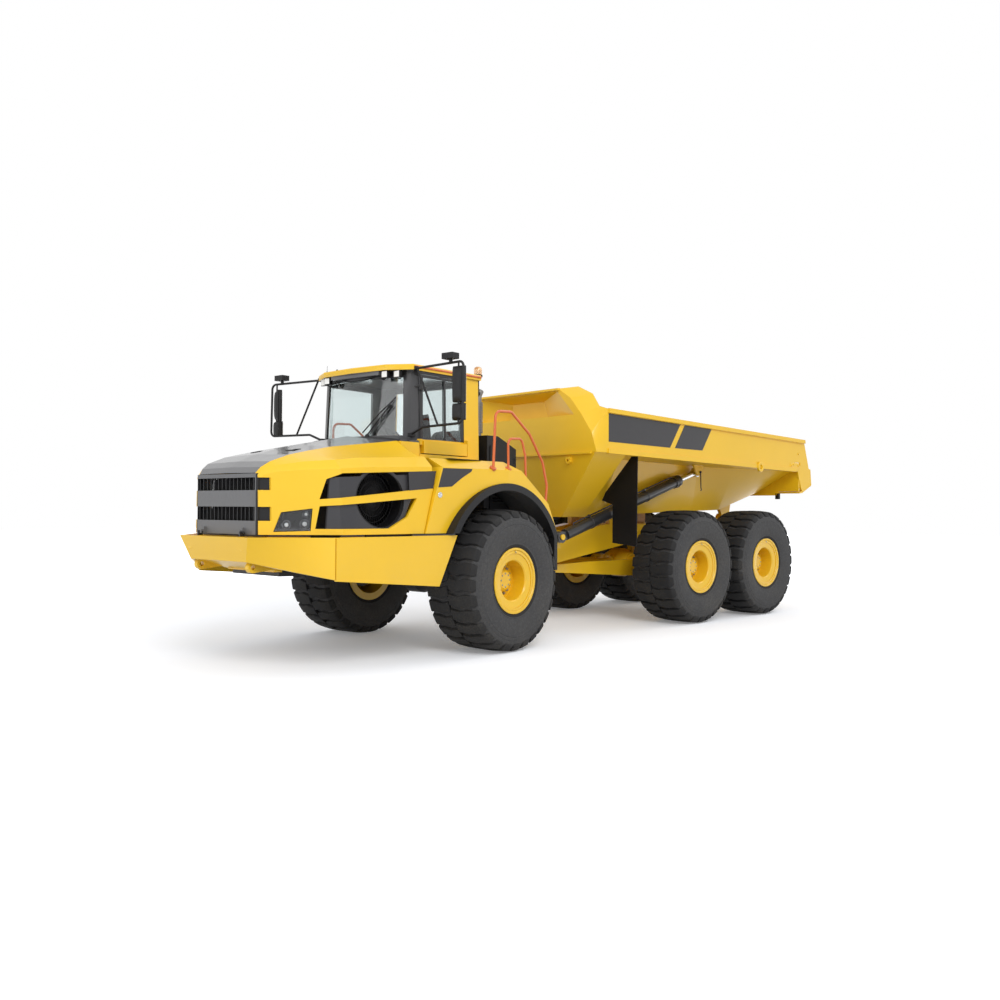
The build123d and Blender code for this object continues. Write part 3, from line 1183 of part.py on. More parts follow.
def steer_cylinder(side):
    """Barrel and rod of one steering cylinder; side is 1 on the left and -1 on the right."""
    eye = steer_eye_now()[0 if side > 0 else 1]
    foot = (STEER_FOOT_X, side * STEER_FOOT_Y)
    length = hypot(eye[0] - foot[0], eye[1] - foot[1])
    angle = degrees(atan2(eye[1] - foot[1], eye[0] - foot[0]))
    barrel = bar((78, 0, 0), (STEER_BARREL_L, 0, 0), STEER_BARREL_R)
    barrel += bar((0, 0, -32), (0, 0, 32), 48) + block(0, 90, -30, 30, -30, 30)
    barrel -= bar((90, 0, 0), (STEER_BARREL_L - 40, 0, 0), STEER_BARREL_R - 14)
    barrel -= bar((200, 0, 0), (STEER_BARREL_L + 50, 0, 0), STEER_ROD_R + FIT)
    barrel -= bar((0, 0, -90), (0, 0, 90), 22 + FIT)
    inner_end = length - STEER_ROD_L
    rod = bar((inner_end, 0, 0), (length - 30, 0, 0), STEER_ROD_R)
    rod += bar((inner_end, 0, 0), (inner_end + 50, 0, 0), STEER_BARREL_R - 14 - FIT)
    rod += Pos(length, 0, 0) * bar((0, 0, -32), (0, 0, 32), 48)
    place = Pos(foot[0], foot[1], STEER_Z) * Rot(0, 0, angle)
    return place * barrel, place * rod


def parked(shape):
    """Turn a piece of the rear half about the hitch pin to where it is parked."""
    hitch = Axis((HITCH_X, 0, 0), (0, 0, 1))
    return shape.rotate(hitch, PARKED_STEER)


WHEELS = [("front_left", 0, 1), ("front_right", 0, -1), ("middle_left", MIDDLE_X, 1), ("middle_right", MIDDLE_X, -1),
          ("rear_left", REAR_X, 1), ("rear_right", REAR_X, -1)]


def front_nodes():
    steer_left, steer_right = steer_cylinder(1), steer_cylinder(-1)
    return {
        "chassis_front": chassis_front(), "bumper": bumper(), "side_skirts": side_skirts(),
        "belly_guard": belly_guard(), "front_axle": front_axle(), "engine_block": engine(), "gearbox": gearbox(),
        "radiator": radiator(), "cab_shell": cab_shell(), "cowl": cowl(), "cab_roof": cab_roof(), "cab_glass": cab_glass(),
        "operator_seat": seat(), "dashboard": dashboard(), "fenders": fenders(), "arch_liners": arch_liners(),
        "deck_frame": deck_frame(), "equipment_bay": equipment_bay(), "handrails": handrails(),
        "exhaust_stack": exhaust_stack(), "mirrors": mirrors(), "work_lamps": work_lamps(),
        "hood_top": hood_top(), "hood_sides": hood_sides(), "grille": grille(), "side_intakes": side_intakes(),
        "headlamps": headlamps(), "cab_door": cab_door(), "door_glass": door_glass(),
        "steer_barrel_left": steer_left[0], "steer_rod_left": steer_left[1],
        "steer_barrel_right": steer_right[0], "steer_rod_right": steer_right[1],
    }


def rear_nodes():
    barrel, rod = place_hoist(hoist_barrel()), place_hoist(hoist_rod())
    return {
        "hitch_yoke": hitch_yoke(), "rear_frame": rear_frame(), "bogie_beams": bogie_beams(),
        "rear_axles": rear_axles(), "dump_body": dump_body(), "mud_flaps": mud_flaps(),
        "hoist_barrel_left": barrel, "hoist_barrel_right": mirrored(barrel),
        "hoist_rod_left": rod, "hoist_rod_right": mirrored(rod),
    }


def wheel_nodes():
    nodes = {}
    rubber, steel = tyre(), rim()
    for name, x, side in WHEELS:
        place = Pos(x, side * TRACK / 2, HUB_Z) * Rot(0, 0, 0 if side > 0 else 180)
        for kind, shape in (("tyre", rubber), ("rim", steel)):
            piece = place * shape
            nodes[kind + "_" + name] = piece if x == 0 else parked(piece)
    return nodes


def all_nodes():
    nodes = front_nodes()
    for name, shape in rear_nodes().items():
        nodes[name] = parked(shape)
    nodes.update(wheel_nodes())
    return nodes


NODES = all_nodes()
BOX = Compound(children=[solid for shape in NODES.values() for solid in solids_of(shape)]).bounding_box()
SHIFT = Vector(-(BOX.min.X + BOX.max.X) / 2, -(BOX.min.Y + BOX.max.Y) / 2, 0)

for name, shape in NODES.items():
    placed = Pos(SHIFT.X, SHIFT.Y, SHIFT.Z) * Compound(children=solids_of(shape))
    export_step(placed, "parts/" + name + ".step")

print("shift", round(SHIFT.X, 3), round(SHIFT.Y, 3), "size", BOX.size)
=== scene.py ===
import bmesh
import bpy
from math import atan2, cos, pi, radians, sin
from mathutils import Matrix, Quaternion, Vector


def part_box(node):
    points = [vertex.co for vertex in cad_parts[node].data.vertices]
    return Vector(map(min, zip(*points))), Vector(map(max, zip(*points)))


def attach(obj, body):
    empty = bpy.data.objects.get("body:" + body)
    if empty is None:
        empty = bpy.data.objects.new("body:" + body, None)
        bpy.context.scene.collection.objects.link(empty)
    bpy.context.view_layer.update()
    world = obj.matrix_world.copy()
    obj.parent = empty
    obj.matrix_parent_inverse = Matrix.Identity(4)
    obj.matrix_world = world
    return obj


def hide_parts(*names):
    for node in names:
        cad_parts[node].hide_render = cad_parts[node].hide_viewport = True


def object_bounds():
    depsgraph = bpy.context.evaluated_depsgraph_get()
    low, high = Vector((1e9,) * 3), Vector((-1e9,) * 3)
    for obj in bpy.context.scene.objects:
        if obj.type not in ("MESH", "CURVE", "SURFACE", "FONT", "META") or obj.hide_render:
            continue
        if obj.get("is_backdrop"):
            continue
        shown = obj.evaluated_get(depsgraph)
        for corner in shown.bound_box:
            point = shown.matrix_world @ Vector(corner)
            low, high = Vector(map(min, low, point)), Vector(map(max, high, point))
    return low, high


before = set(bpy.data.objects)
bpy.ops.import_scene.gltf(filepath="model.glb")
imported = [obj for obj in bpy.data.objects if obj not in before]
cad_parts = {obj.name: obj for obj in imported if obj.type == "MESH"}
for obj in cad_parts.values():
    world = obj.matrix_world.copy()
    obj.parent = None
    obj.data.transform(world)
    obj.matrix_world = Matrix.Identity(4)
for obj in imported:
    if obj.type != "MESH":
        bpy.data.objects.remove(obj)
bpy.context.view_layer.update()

# Camera: at standing height ahead of the left front corner, as in the photograph.
# The truck's long side falls away to the right, so the lens is a normal one.
EYE_HEIGHT = 1.806
FOCAL_LENGTH, SENSOR_WIDTH = 33.18, 36


def stand(name, data):
    """Adds an object to the scene."""
    item = bpy.data.objects.new(name, data)
    bpy.context.scene.collection.objects.link(item)
    return item


def arrange(item, **settings):
    """Sets a thing's properties."""
    for key, value in settings.items():
        setattr(item, key, value)
    return item


camera = stand("camera", bpy.data.cameras.new("camera"))
arrange(camera.data, sensor_width=SENSOR_WIDTH, lens=FOCAL_LENGTH, clip_end=200)
camera.location = (11.668657, 8.421111, EYE_HEIGHT)
heading, lift, roll = radians(-141.11), radians(0.51), radians(0.35)
ahead = Vector((cos(lift) * cos(heading), cos(lift) * sin(heading), sin(lift)))
camera.rotation_mode = "QUATERNION"
camera.rotation_quaternion = ahead.to_track_quat("-Z", "Y") @ Quaternion((0, 0, 1), roll)
bpy.context.scene.camera = camera

# Studio: a broad pale floor under a soft sky, with one large key light above the camera's side and
# weaker ones from ahead and behind. To the camera and in reflections the sky is pure white and the
# floor runs out to pure white far behind the truck, so that only the truck's shadow shows on it.
FLOOR_REACH = 60
SKY_LIGHT = 0.72
SHADOW_LIFT = 0.16
FADE_START, FADE_END = 8.0, 15.0


def feed(tree, item, sockets):
    """Gives a node's inputs constants or other nodes' outputs, by name or number."""
    for key, value in sockets.items():
        if isinstance(value, bpy.types.NodeSocket):
            tree.links.new(value, item.inputs[key])
        else:
            item.inputs[key].default_value = value
    return item


def put(tree, kind, sockets=(), **settings):
    """Adds a node, of the shader kinds unless kind says another."""
    item = tree.nodes.new(kind if kind.startswith(("Geometry", "Function")) else "ShaderNode" + kind)
    return feed(tree, arrange(item, **settings), dict(sockets))


def object_place(tree):
    return put(tree, "TexCoord").outputs["Object"]


def new_look(name):
    """A material, its node tree and the object coordinates in it."""
    look = bpy.data.materials.new(name)
    look.use_nodes = True
    return look, look.node_tree, object_place(look.node_tree)


def math(tree, kind, first, second=0.0, third=0.0, clamp=False):
    return put(tree, "Math", {0: first, 1: second, 2: third}, operation=kind, use_clamp=clamp).outputs[0]


def blend_colour(tree, share, first, second, mode="MIX"):
    return put(tree, "Mix", {0: share, 6: first, 7: second}, data_type="RGBA", blend_type=mode).outputs[2]


def band(tree, value, low, high):
    """0 below low and 1 above high, smooth between."""
    edges = {"Value": value, "From Min": low, "From Max": high}
    return put(tree, "MapRange", edges, interpolation_type="SMOOTHSTEP").outputs[0]


def above(tree, value, level, blur=0.001):
    """0 below a level and 1 above it, with a blur as wide on both sides."""
    return band(tree, value, level - blur, level + blur)


def noise(tree, place, scale, detail, roughness=0.5):
    return put(tree, "TexNoise", {
        "Vector": place, "Scale": scale, "Detail": detail, "Roughness": roughness}).outputs[0]


def coordinate(tree, place, axis):
    return put(tree, "SeparateXYZ", {0: place}).outputs[axis]


def product(tree, *values):
    """All the values multiplied together."""
    total = values[0]
    for value in values[1:]:
        total = math(tree, "MULTIPLY", total, value)
    return total


def seen_directly(tree):
    """1 to the camera, in reflections and through glass, and 0 to the light that falls on things."""
    rays = put(tree, "LightPath").outputs
    seen = math(tree, "MAXIMUM", rays["Is Camera Ray"], rays["Is Glossy Ray"])
    return math(tree, "MAXIMUM", seen, rays["Is Transmission Ray"])


SQUARE = (-1, -1), (1, -1), (1, 1), (-1, 1)
floor_mesh = bpy.data.meshes.new("studio_floor")
floor_mesh.from_pydata([(x * FLOOR_REACH, y * FLOOR_REACH, 0) for x, y in SQUARE], [], [(0, 1, 2, 3)])
look, tree, place = new_look("studio_floor")
seen = seen_directly(tree)
far_off = put(tree, "VectorMath", {0: place}, operation="LENGTH").outputs["Value"]
glow = math(tree, "ADD", band(tree, far_off, FADE_START, FADE_END), SHADOW_LIFT)
feed(tree, tree.nodes["Principled BSDF"], {
    "Base Color": blend_colour(tree, seen, (0.6, 0.6, 0.6, 1), (0.94, 0.96, 1.0, 1)),
    "Roughness": 0.9, "Specular IOR Level": 0.1, "Emission Color": (1, 1, 1, 1),
    "Emission Strength": product(tree, seen, glow)})
floor_mesh.materials.append(look)
stand("studio_floor", floor_mesh)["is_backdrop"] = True

world = bpy.data.worlds.new("studio_sky")
world.use_nodes = True
bpy.context.scene.world = world
tree = world.node_tree
level = put(tree, "MapRange", {"Value": seen_directly(tree), "To Min": SKY_LIGHT}).outputs[0]
feed(tree, tree.nodes["Background"], {"Color": (1, 1, 1, 1), "Strength": level})
bpy.context.scene.view_settings.view_transform = "Standard"

for name, place, size, power in (
    ("key_light", (13, 16, 15), 10, 2300),
    ("fill_light", (22, -3, 8), 9, 650),
    ("back_light", (-16, 6, 14), 12, 800),
):
    light = stand(name, arrange(bpy.data.lights.new(name, "AREA"), size=size, energy=power))
    arrange(light, location=place, rotation_mode="QUATERNION",
            rotation_quaternion=(-Vector(place)).to_track_quat("-Z", "Y"))

# Frame halves: the front half is drawn in millimetres from the front axle's middle on the ground.
# The rear half hangs on the hitch pin and stands turned a little to the right, as it is parked.
HITCH = 1277
PARKED_TURN = radians(-7.77)
hubs = [Vector(corner) for side in ("left", "right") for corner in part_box("tyre_front_" + side)]
axle = sum(hubs, Vector()) / 4
FRONT = Matrix.Translation((axle.x, axle.y, 0)) @ Matrix.Scale(0.001, 4)
REAR = FRONT @ Matrix.Translation((-HITCH, 0, 0)) @ Matrix.Rotation(PARKED_TURN, 4, "Z")
REAR = REAR @ Matrix.Translation((HITCH, 0, 0))


def new_group(name, inputs, outputs):
    """A shader group: its tree, the sockets it is given and the node that its results go to."""
    tree = bpy.data.node_groups.new(name, "ShaderNodeTree")
    for label, value in inputs:
        socket = tree.interface.new_socket(label, in_out="INPUT", socket_type="NodeSocketFloat")
        socket.default_value = value
    for label, kind in outputs:
        tree.interface.new_socket(label, in_out="OUTPUT", socket_type="NodeSocket" + kind)
    return tree, tree.nodes.new("NodeGroupInput").outputs, tree.nodes.new("NodeGroupOutput")


# Folded edges: steel plate is bent and ground, so no edge is sharp. The mask is 1 on the edge and sets a
# painted highlight, a paler colour along it; the normal is turned there as on a real fold.
edge_tree, given, made = new_group(
    "folded_edge", [("Radius", 0.006)], [("Mask", "Float"), ("Normal", "Vector")])
turned = put(edge_tree, "Bevel", {"Radius": given["Radius"]}, samples=4).outputs[0]
flat = put(edge_tree, "NewGeometry").outputs["Normal"]
along = put(edge_tree, "VectorMath", {0: turned, 1: flat}, operation="DOT_PRODUCT").outputs["Value"]
edge_highlight_mask = band(edge_tree, math(edge_tree, "SUBTRACT", 1.0, along), 0.005, 0.12)
feed(edge_tree, made, {"Mask": edge_highlight_mask, "Normal": turned})

# Road dust: a light film in soft patches, thick near the ground and thin above Height.
dust_tree, given, made = new_group(
    "road_dust", [("Amount", 0.3), ("Height", 1.5), ("Patches", 2.0)], [("Mask", "Float")])
spot = object_place(dust_tree)
climb = math(dust_tree, "DIVIDE", coordinate(dust_tree, spot, "Z"), given["Height"])
low_part = math(dust_tree, "ADD", math(dust_tree, "SUBTRACT", 1.0, climb, clamp=True), 0.15)
patch = band(dust_tree, noise(dust_tree, spot, given["Patches"], 6.0), 0.35, 0.75)
fine = band(dust_tree, noise(dust_tree, spot, 45.0, 4.0), 0.2, 0.8)
feed(dust_tree, made, {"Mask": product(dust_tree, low_part, patch, fine, given["Amount"])})

# Surface grain: the faint orange peel of sprayed paint, or the pebbled skin of moulded plastic.
grain_tree, given, made = new_group(
    "surface_grain", [("Scale", 300.0), ("Waves", 3.0)], [("Height", "Float")])
spot = object_place(grain_tree)
pebble, swell = noise(grain_tree, spot, given["Scale"], 3.0), noise(grain_tree, spot, given["Waves"], 1.0)
feed(grain_tree, made, {"Height": math(grain_tree, "MULTIPLY_ADD", swell, 0.6, pebble)})

LOOKS = {}
YELLOW = (0.88, 0.535, 0.01)
BLACK = (0.006, 0.006, 0.007)
DUST = (0.46, 0.41, 0.33, 1)


def finish(name, colour, roughness, metallic=0.0, coat=0.0, grain=(300.0, 0.05), dust=0.25, edge=0.006,
           pale=1.2, shift=0.04, marks=None, height=1.5, shine=0.5):
    """A finish with its own grain, folded edges, dust and slow drift in colour.

    marks paints over the colour, pale is how much lighter the painted highlight along an edge is, and shift
    is the drift's share."""
    look, tree, place = new_look(name)
    drift = noise(tree, place, 1.3, 5.0, 0.6)
    deep = tuple(part * (1 - 2 * shift) for part in colour)
    light = tuple(min(1.0, part * (1 + shift)) for part in colour)
    shade = blend_colour(tree, drift, (*deep, 1), (*light, 1))
    if marks:
        shade = marks(tree, place, shade)
    fold = put(tree, "Group", {"Radius": edge}, node_tree=edge_tree)
    # Painted highlight: the colour is lighter along each folded edge.
    lit = blend_colour(tree, 1.0, shade, (pale, pale, pale, 1), "MULTIPLY")
    shade = blend_colour(tree, product(tree, fold.outputs["Mask"], 0.5), shade, lit)
    film = put(tree, "Group", {"Amount": dust, "Height": height}, node_tree=dust_tree).outputs["Mask"]
    rough = math(tree, "MULTIPLY_ADD", noise(tree, place, 9.0, 8.0, 0.7), 0.14, roughness - 0.07)
    peel = put(tree, "Group", {"Scale": grain[0]}, node_tree=grain_tree).outputs["Height"]
    bump = put(tree, "Bump", {
        "Strength": grain[1], "Distance": 0.001, "Height": peel, "Normal": fold.outputs["Normal"]})
    feed(tree, tree.nodes["Principled BSDF"], {
        "Base Color": blend_colour(tree, film, shade, DUST), "Normal": bump.outputs[0],
        "Roughness": math(tree, "MULTIPLY_ADD", film, 0.4, rough, clamp=True), "Metallic": metallic,
        "Specular IOR Level": shine, "Coat Weight": coat, "Coat Roughness": 0.12})
    LOOKS[name] = look


def dress(look, *nodes):
    """Gives CAD nodes their finish."""
    for node in nodes:
        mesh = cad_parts[node].data
        mesh.materials.clear()
        mesh.materials.append(LOOKS[look])


# Frames, axles and the engine: welded plate and castings, sprayed dark grey before assembly.
# They sit low and take the most dust; the engine's iron is rougher than the plate.
finish("frame_grey", (0.016, 0.016, 0.018), 0.5, coat=0.1, dust=0.2, grain=(160.0, 0.12), shine=0.35)
finish("body_yellow", YELLOW, 0.38, coat=0.25, dust=0.07)
finish("engine_iron", (0.03, 0.031, 0.033), 0.6, metallic=0.3, grain=(90.0, 0.4), dust=0.2)
# The radiator's aluminium core is near black: painted shade for the dark seen through the grille.
finish("core_aluminium", (0.012, 0.012, 0.013), 0.6, metallic=0.1, grain=(420.0, 0.3))
dress("frame_grey", "chassis_front", "belly_guard", "front_axle", "gearbox")
dress("frame_grey", "deck_frame", "hitch_yoke", "bogie_beams")
dress("body_yellow", "rear_frame", "rear_axles")
dress("engine_iron", "engine_block")
dress("core_aluminium", "radiator")


AHEAD, ASIDE, UP = (1, 0, 0), (0, 1, 0), (0, 0, 1)
# Body, slot and finish of the black fittings on the front half and on the hood.
FRONT_BLACK = "front_frame", "arch_black", "vent_black"
HOOD_BLACK = "hood", "cover_grey", "vent_black"


class Form:
    """A mesh while it is put together: points, faces and the finish of each face."""

    def __init__(self):
        self.points, self.faces, self.finishes = [], [], []

    def add(self, points, faces, which=0):
        start = len(self.points)
        self.points += [Vector(point) for point in points]
        self.faces += [[start + index for index in face] for face in faces]
        self.finishes += [which] * len(faces)

    def skin(self, rings, which=0, capped=True, closed=True):
        """Joins rings of as many points each, one after the other."""
        size = len(rings[0])
        faces = []
        for start in range(0, (len(rings) - 1) * size, size):
            for column in range(size if closed else size - 1):
                after = (column + 1) % size
                faces.append([start + column, start + after, start + size + after, start + size + column])
        if capped:
            faces += [list(range(size)), [len(rings) * size - 1 - index for index in range(size)]]
        self.add([point for ring in rings for point in ring], faces, which)

    def plate(self, outline, depth, which=0):
        """A flat plate: its outline and the vector to its other face."""
        self.skin([outline, [Vector(point) + Vector(depth) for point in outline]], which)

    def block(self, low, high, which=0):
        (x, y, z), (far_x, far_y, far_z) = low, high
        foot = [(x, y, z), (far_x, y, z), (far_x, far_y, z), (x, far_y, z)]
        self.plate(foot, (0, 0, far_z - z), which)

    def lathe(self, profile, centre=(0, 0, 0), axis=UP, steps=32, which=0, capped=True):
        """Profile points are (radius, distance along the axis)."""
        turn = Vector(axis).to_track_quat("Z", "Y")
        angles = [2 * pi * step / steps for step in range(steps)]
        rings = [[Vector(centre) + turn @ Vector((radius * cos(angle), radius * sin(angle), along))
                  for angle in angles] for radius, along in profile]
        self.skin(rings, which, capped)

    def tube(self, points, radius, bend=0.0, sides=10, which=0):
        """A round bar or pipe along straight runs with rounded bends."""
        points = [Vector(point) for point in points]
        path = [points[0]]
        for before, corner, after in zip(points, points[1:], points[2:]):
            back, on = (before - corner).normalized(), (after - corner).normalized()
            reach = min(bend, (before - corner).length * 0.45, (after - corner).length * 0.45)
            for step in range(5):
                share = step / 4
                path.append(corner + back * reach * (1 - share) ** 2 + on * reach * share ** 2)
        path.append(points[-1])
        rings = []
        angles = [2 * pi * step / sides for step in range(sides)]
        side = (path[1] - path[0]).orthogonal().normalized()
        for index, point in enumerate(path):
            line = (path[min(index + 1, len(path) - 1)] - path[max(index - 1, 0)]).normalized()
            side = (side - line * side.dot(line)).normalized()
            across = line.cross(side)
            rings.append([point + (side * cos(angle) + across * sin(angle)) * radius for angle in angles])
        self.skin(rings, which)

    def take(self, mesh, which=0):
        """Adds a mesh as it is."""
        faces = [list(polygon.vertices) for polygon in mesh.polygons]
        self.add([vertex.co for vertex in mesh.vertices], faces, which)

    def both_sides(self):
        """Adds the mirror image on the truck's other side."""
        mirror = [Vector((point.x, -point.y, point.z)) for point in self.points]
        start = len(self.points)
        self.faces += [[start + index for index in reversed(face)] for face in self.faces]
        self.finishes += self.finishes
        self.points += mirror
        return self


def fit(form, name, body, slot, looks, place=FRONT, soft=0.0, angle=35, subdivide=0):
    """Puts a form where it belongs and fixes it to a body. soft rounds its edges, in millimetres."""
    mesh = bpy.data.meshes.new(name)
    mesh.from_pydata(form.points, [], form.faces)
    mesh.polygons.foreach_set("material_index", form.finishes)
    mesh.transform(place)
    work = bmesh.new()
    work.from_mesh(mesh)
    bmesh.ops.remove_doubles(work, verts=work.verts, dist=0.00005)
    bmesh.ops.recalc_face_normals(work, faces=work.faces)
    work.to_mesh(mesh)
    work.free()
    mesh.shade_smooth()
    mesh.set_sharp_from_angle(angle=radians(angle))
    for look in [looks] if isinstance(looks, str) else looks:
        mesh.materials.append(LOOKS[look])
    piece = stand(name, mesh)
    if soft:
        arrange(piece.modifiers.new("soft_edges", "BEVEL"), width=soft / 1000, segments=2,
                limit_method="ANGLE", angle_limit=radians(40), harden_normals=True)
    if subdivide:
        arrange(piece.modifiers.new("smooth", "SUBSURF"), levels=subdivide, render_levels=subdivide)
    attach(piece, body)
    return piece


# Repeats: one node tree sets copies of a form on a line or a circle, such as ribs, nuts and tread blocks.
repeat_tree = bpy.data.node_groups.new("repeat", "GeometryNodeTree")
sockets = {}
for label, kind in (("Geometry", "Geometry"), ("Count", "Int"), ("Step", "Vector"), ("Turn", "Vector"),
                    ("Finish", "Material")):
    sockets[label] = repeat_tree.interface.new_socket(label, in_out="INPUT", socket_type="NodeSocket" + kind)
repeat_tree.interface.new_socket("Geometry", in_out="OUTPUT", socket_type="NodeSocketGeometry")
entry = repeat_tree.nodes.new("NodeGroupInput").outputs
spots = put(repeat_tree, "GeometryNodeMeshLine", {"Count": entry["Count"], "Offset": entry["Step"]})
number = put(repeat_tree, "GeometryNodeInputIndex").outputs[0]
turns = put(repeat_tree, "VectorMath", {0: entry["Turn"], "Scale": number}, operation="SCALE")
spin = put(repeat_tree, "FunctionNodeEulerToRotation", {0: turns.outputs[0]})
copies = put(repeat_tree, "GeometryNodeInstanceOnPoints", {
    "Points": spots.outputs[0], "Instance": entry["Geometry"], "Rotation": spin.outputs[0]})
solid = put(repeat_tree, "GeometryNodeRealizeInstances", {0: copies.outputs[0]})
faced = put(repeat_tree, "GeometryNodeSetMaterial", {
    "Geometry": solid.outputs[0], "Material": entry["Finish"]})
feed(repeat_tree, repeat_tree.nodes.new("NodeGroupOutput"), {0: faced.outputs[0]})


def repeated(form, count, step=(0, 0, 0), turn=(0, 0, 0), look="vent_black", start=(0, 0, 0)):
    """Copies of a form, each a step and a turn on from the last, as a plain mesh."""
    mesh = bpy.data.meshes.new("pattern")
    mesh.from_pydata(form.points, [], form.faces)
    pattern = stand("pattern", mesh)
    rule = pattern.modifiers.new("repeat", "NODES")
    rule.node_group = repeat_tree
    for label, value in (("Count", count), ("Step", step), ("Turn", turn), ("Finish", LOOKS[look])):
        rule[sockets[label].identifier] = value
    bpy.context.view_layer.update()
    made = bpy.data.meshes.new_from_object(pattern.evaluated_get(bpy.context.evaluated_depsgraph_get()))
    pattern.modifiers.remove(rule)
    bpy.data.objects.remove(pattern)
    made.transform(Matrix.Translation(start))
    return made


def ring_of(form, count, axis=ASIDE, look="vent_black", start=(0, 0, 0)):
    """Copies of a form in a full circle round an axis."""
    return repeated(form, count, turn=tuple(part * 2 * pi / count for part in axis), look=look, start=start)


def cap_screw(radius, height):
    """A hexagon screw head on its washer, standing on z = 0."""
    screw = Form()
    washer = [(radius * 1.35, -2), (radius * 1.35, height * 0.3), (radius * 1.25, height * 0.35)]
    head = [(radius, height * 0.3), (radius, height * 0.9), (radius * 0.8, height)]
    screw.lathe(washer, steps=12)
    screw.lathe(head, steps=6)
    return screw


# Bumper and skirts: 8 mm plate, folded and welded. Two round plugs close the nose's fixing holes.
# The hood's hinge ears and what else stands above the top edge are painted black, as painted shade in the
# seam.
BUMPER_TOP = 1.4815


def black_where(tree, share, shade):
    """Turns the colour black where share is 1."""
    return blend_colour(tree, share, shade, (*BLACK, 1))


def seam_painted_shade(tree, place, shade):
    """Everything above the bumper's top edge is black, as painted shade for the seam."""
    return black_where(tree, above(tree, coordinate(tree, place, "Z"), BUMPER_TOP, 0.0015), shade)


finish("bumper_paint", YELLOW, 0.38, coat=0.25, dust=0.12, marks=seam_painted_shade)
dress("bumper_paint", "bumper", "side_skirts")
plugs = Form()
for y in (-486, 478):
    plugs.lathe([(27, -6), (27, 3), (22, 6), (0.5, 6)], (3222, y, 1352), (1, 0, -0.12), 24)
fit(plugs, "bumper_plugs", "front_frame", "body_yellow", "body_yellow", angle=30)
finish("pin_steel", (0.34, 0.33, 0.31), 0.4, metallic=0.9, grain=(220.0, 0.1))


# Hood: a fibre-glass moulding on a front hinge, yellow at its sides and satin grey on top, with a bare
# dark panel on each side and slatted vents on top. Under it a black rubber seal stands on each skirt.
HOOD_FOOT = 1505
HOOD_SECTIONS = 2150, 1200


def hood_side_y(x, z):
    """How far out the hood's side is, between its two sections."""
    share = (HOOD_SECTIONS[0] - x) / (HOOD_SECTIONS[0] - HOOD_SECTIONS[1])
    foot, side, top = 1285 + 115 * share, 1230 + 120 * share, 2250 + 40 * share
    return foot - (foot - side) * (z - HOOD_FOOT) / (top - HOOD_FOOT)


finish("cover_grey", (0.105, 0.105, 0.11), 0.33, coat=0.6, grain=(520.0, 0.1), dust=0.08, shift=0.03)
finish("panel_grey", (0.034, 0.033, 0.036), 0.42, coat=0.1, grain=(520.0, 0.08), dust=0.05, shift=0.02,
       shine=0.35)
finish("vent_black", BLACK, 0.5, grain=(420.0, 0.2), dust=0.1, shine=0.3)
dress("body_yellow", "hood_sides")
dress("cover_grey", "hood_top")
side_panel = Form()
outline = [(1551, 2219), (1142, 2240), (1198, 2034), (1551, 2003)]
side_panel.plate([(x, hood_side_y(x, z) + 3, z) for x, z in outline], (0, -9, 0))
fit(side_panel.both_sides(), "hood_side_panels", "hood", "cover_grey", "panel_grey")
SEAL_LOW, SEAL_HIGH, SEAL_END = 1440, 1503.5, 930
seal_section = [(58, SEAL_LOW), (34, SEAL_LOW), (34, SEAL_HIGH), (58, SEAL_HIGH)]
seal = Form()
seal.skin([[(x, hood_side_y(x, HOOD_FOOT) - inset, z) for inset, z in seal_section]
           for x in (SEAL_END, HOOD_SECTIONS[1], HOOD_SECTIONS[0])])
fit(seal.both_sides(), "hood_seals", *FRONT_BLACK)
top_vent = Form()
top_vent.plate([(2480, 250, 2444), (2480, 400, 2439), (2360, 400, 2457), (2360, 250, 2463)], (0, 0, 12))
vent_slat = Form()
vent_slat.block((2366, 258, 2468), (2374, 392, 2474))
top_vent.take(repeated(vent_slat, 7, (16, 0, -3.4)))
fit(top_vent.both_sides(), "hood_top_vents", *HOOD_BLACK)


# Grille: a grey moulded frame with two openings, backed by wire mesh on black ribs.
# The openings run round the corners. The front of the frame is bare grey; its sides behind the face are black
# as painted shade.
GRILLE_FACE = 3112
GRILLE_GAPS = ((1655, 1805), (1985, 2120))
GAP_HALF_WIDTH = 0.530
FRAME_DEPTH = 18


def off_centre(tree, place):
    """How far out from the front half's middle plane."""
    return math(tree, "ABSOLUTE", math(tree, "SUBTRACT", coordinate(tree, place, "Y"), axle.y))


def grille_ribs_and_shade(tree, place, shade):
    """Black behind the frame's face as painted shade, and black over the ribs in both openings."""
    face = above(tree, coordinate(tree, place, "X"), axle.x + (GRILLE_FACE - FRAME_DEPTH) / 1000)
    dark = math(tree, "SUBTRACT", 1.0, face)
    within = math(tree, "LESS_THAN", off_centre(tree, place), GAP_HALF_WIDTH)
    z = coordinate(tree, place, "Z")
    for low, high in GRILLE_GAPS:
        over = math(tree, "GREATER_THAN", z, low / 1000 - 0.001)
        under = math(tree, "LESS_THAN", z, high / 1000 + 0.001)
        dark = math(tree, "MAXIMUM", dark, product(tree, within, over, under))
    return black_where(tree, dark, shade)


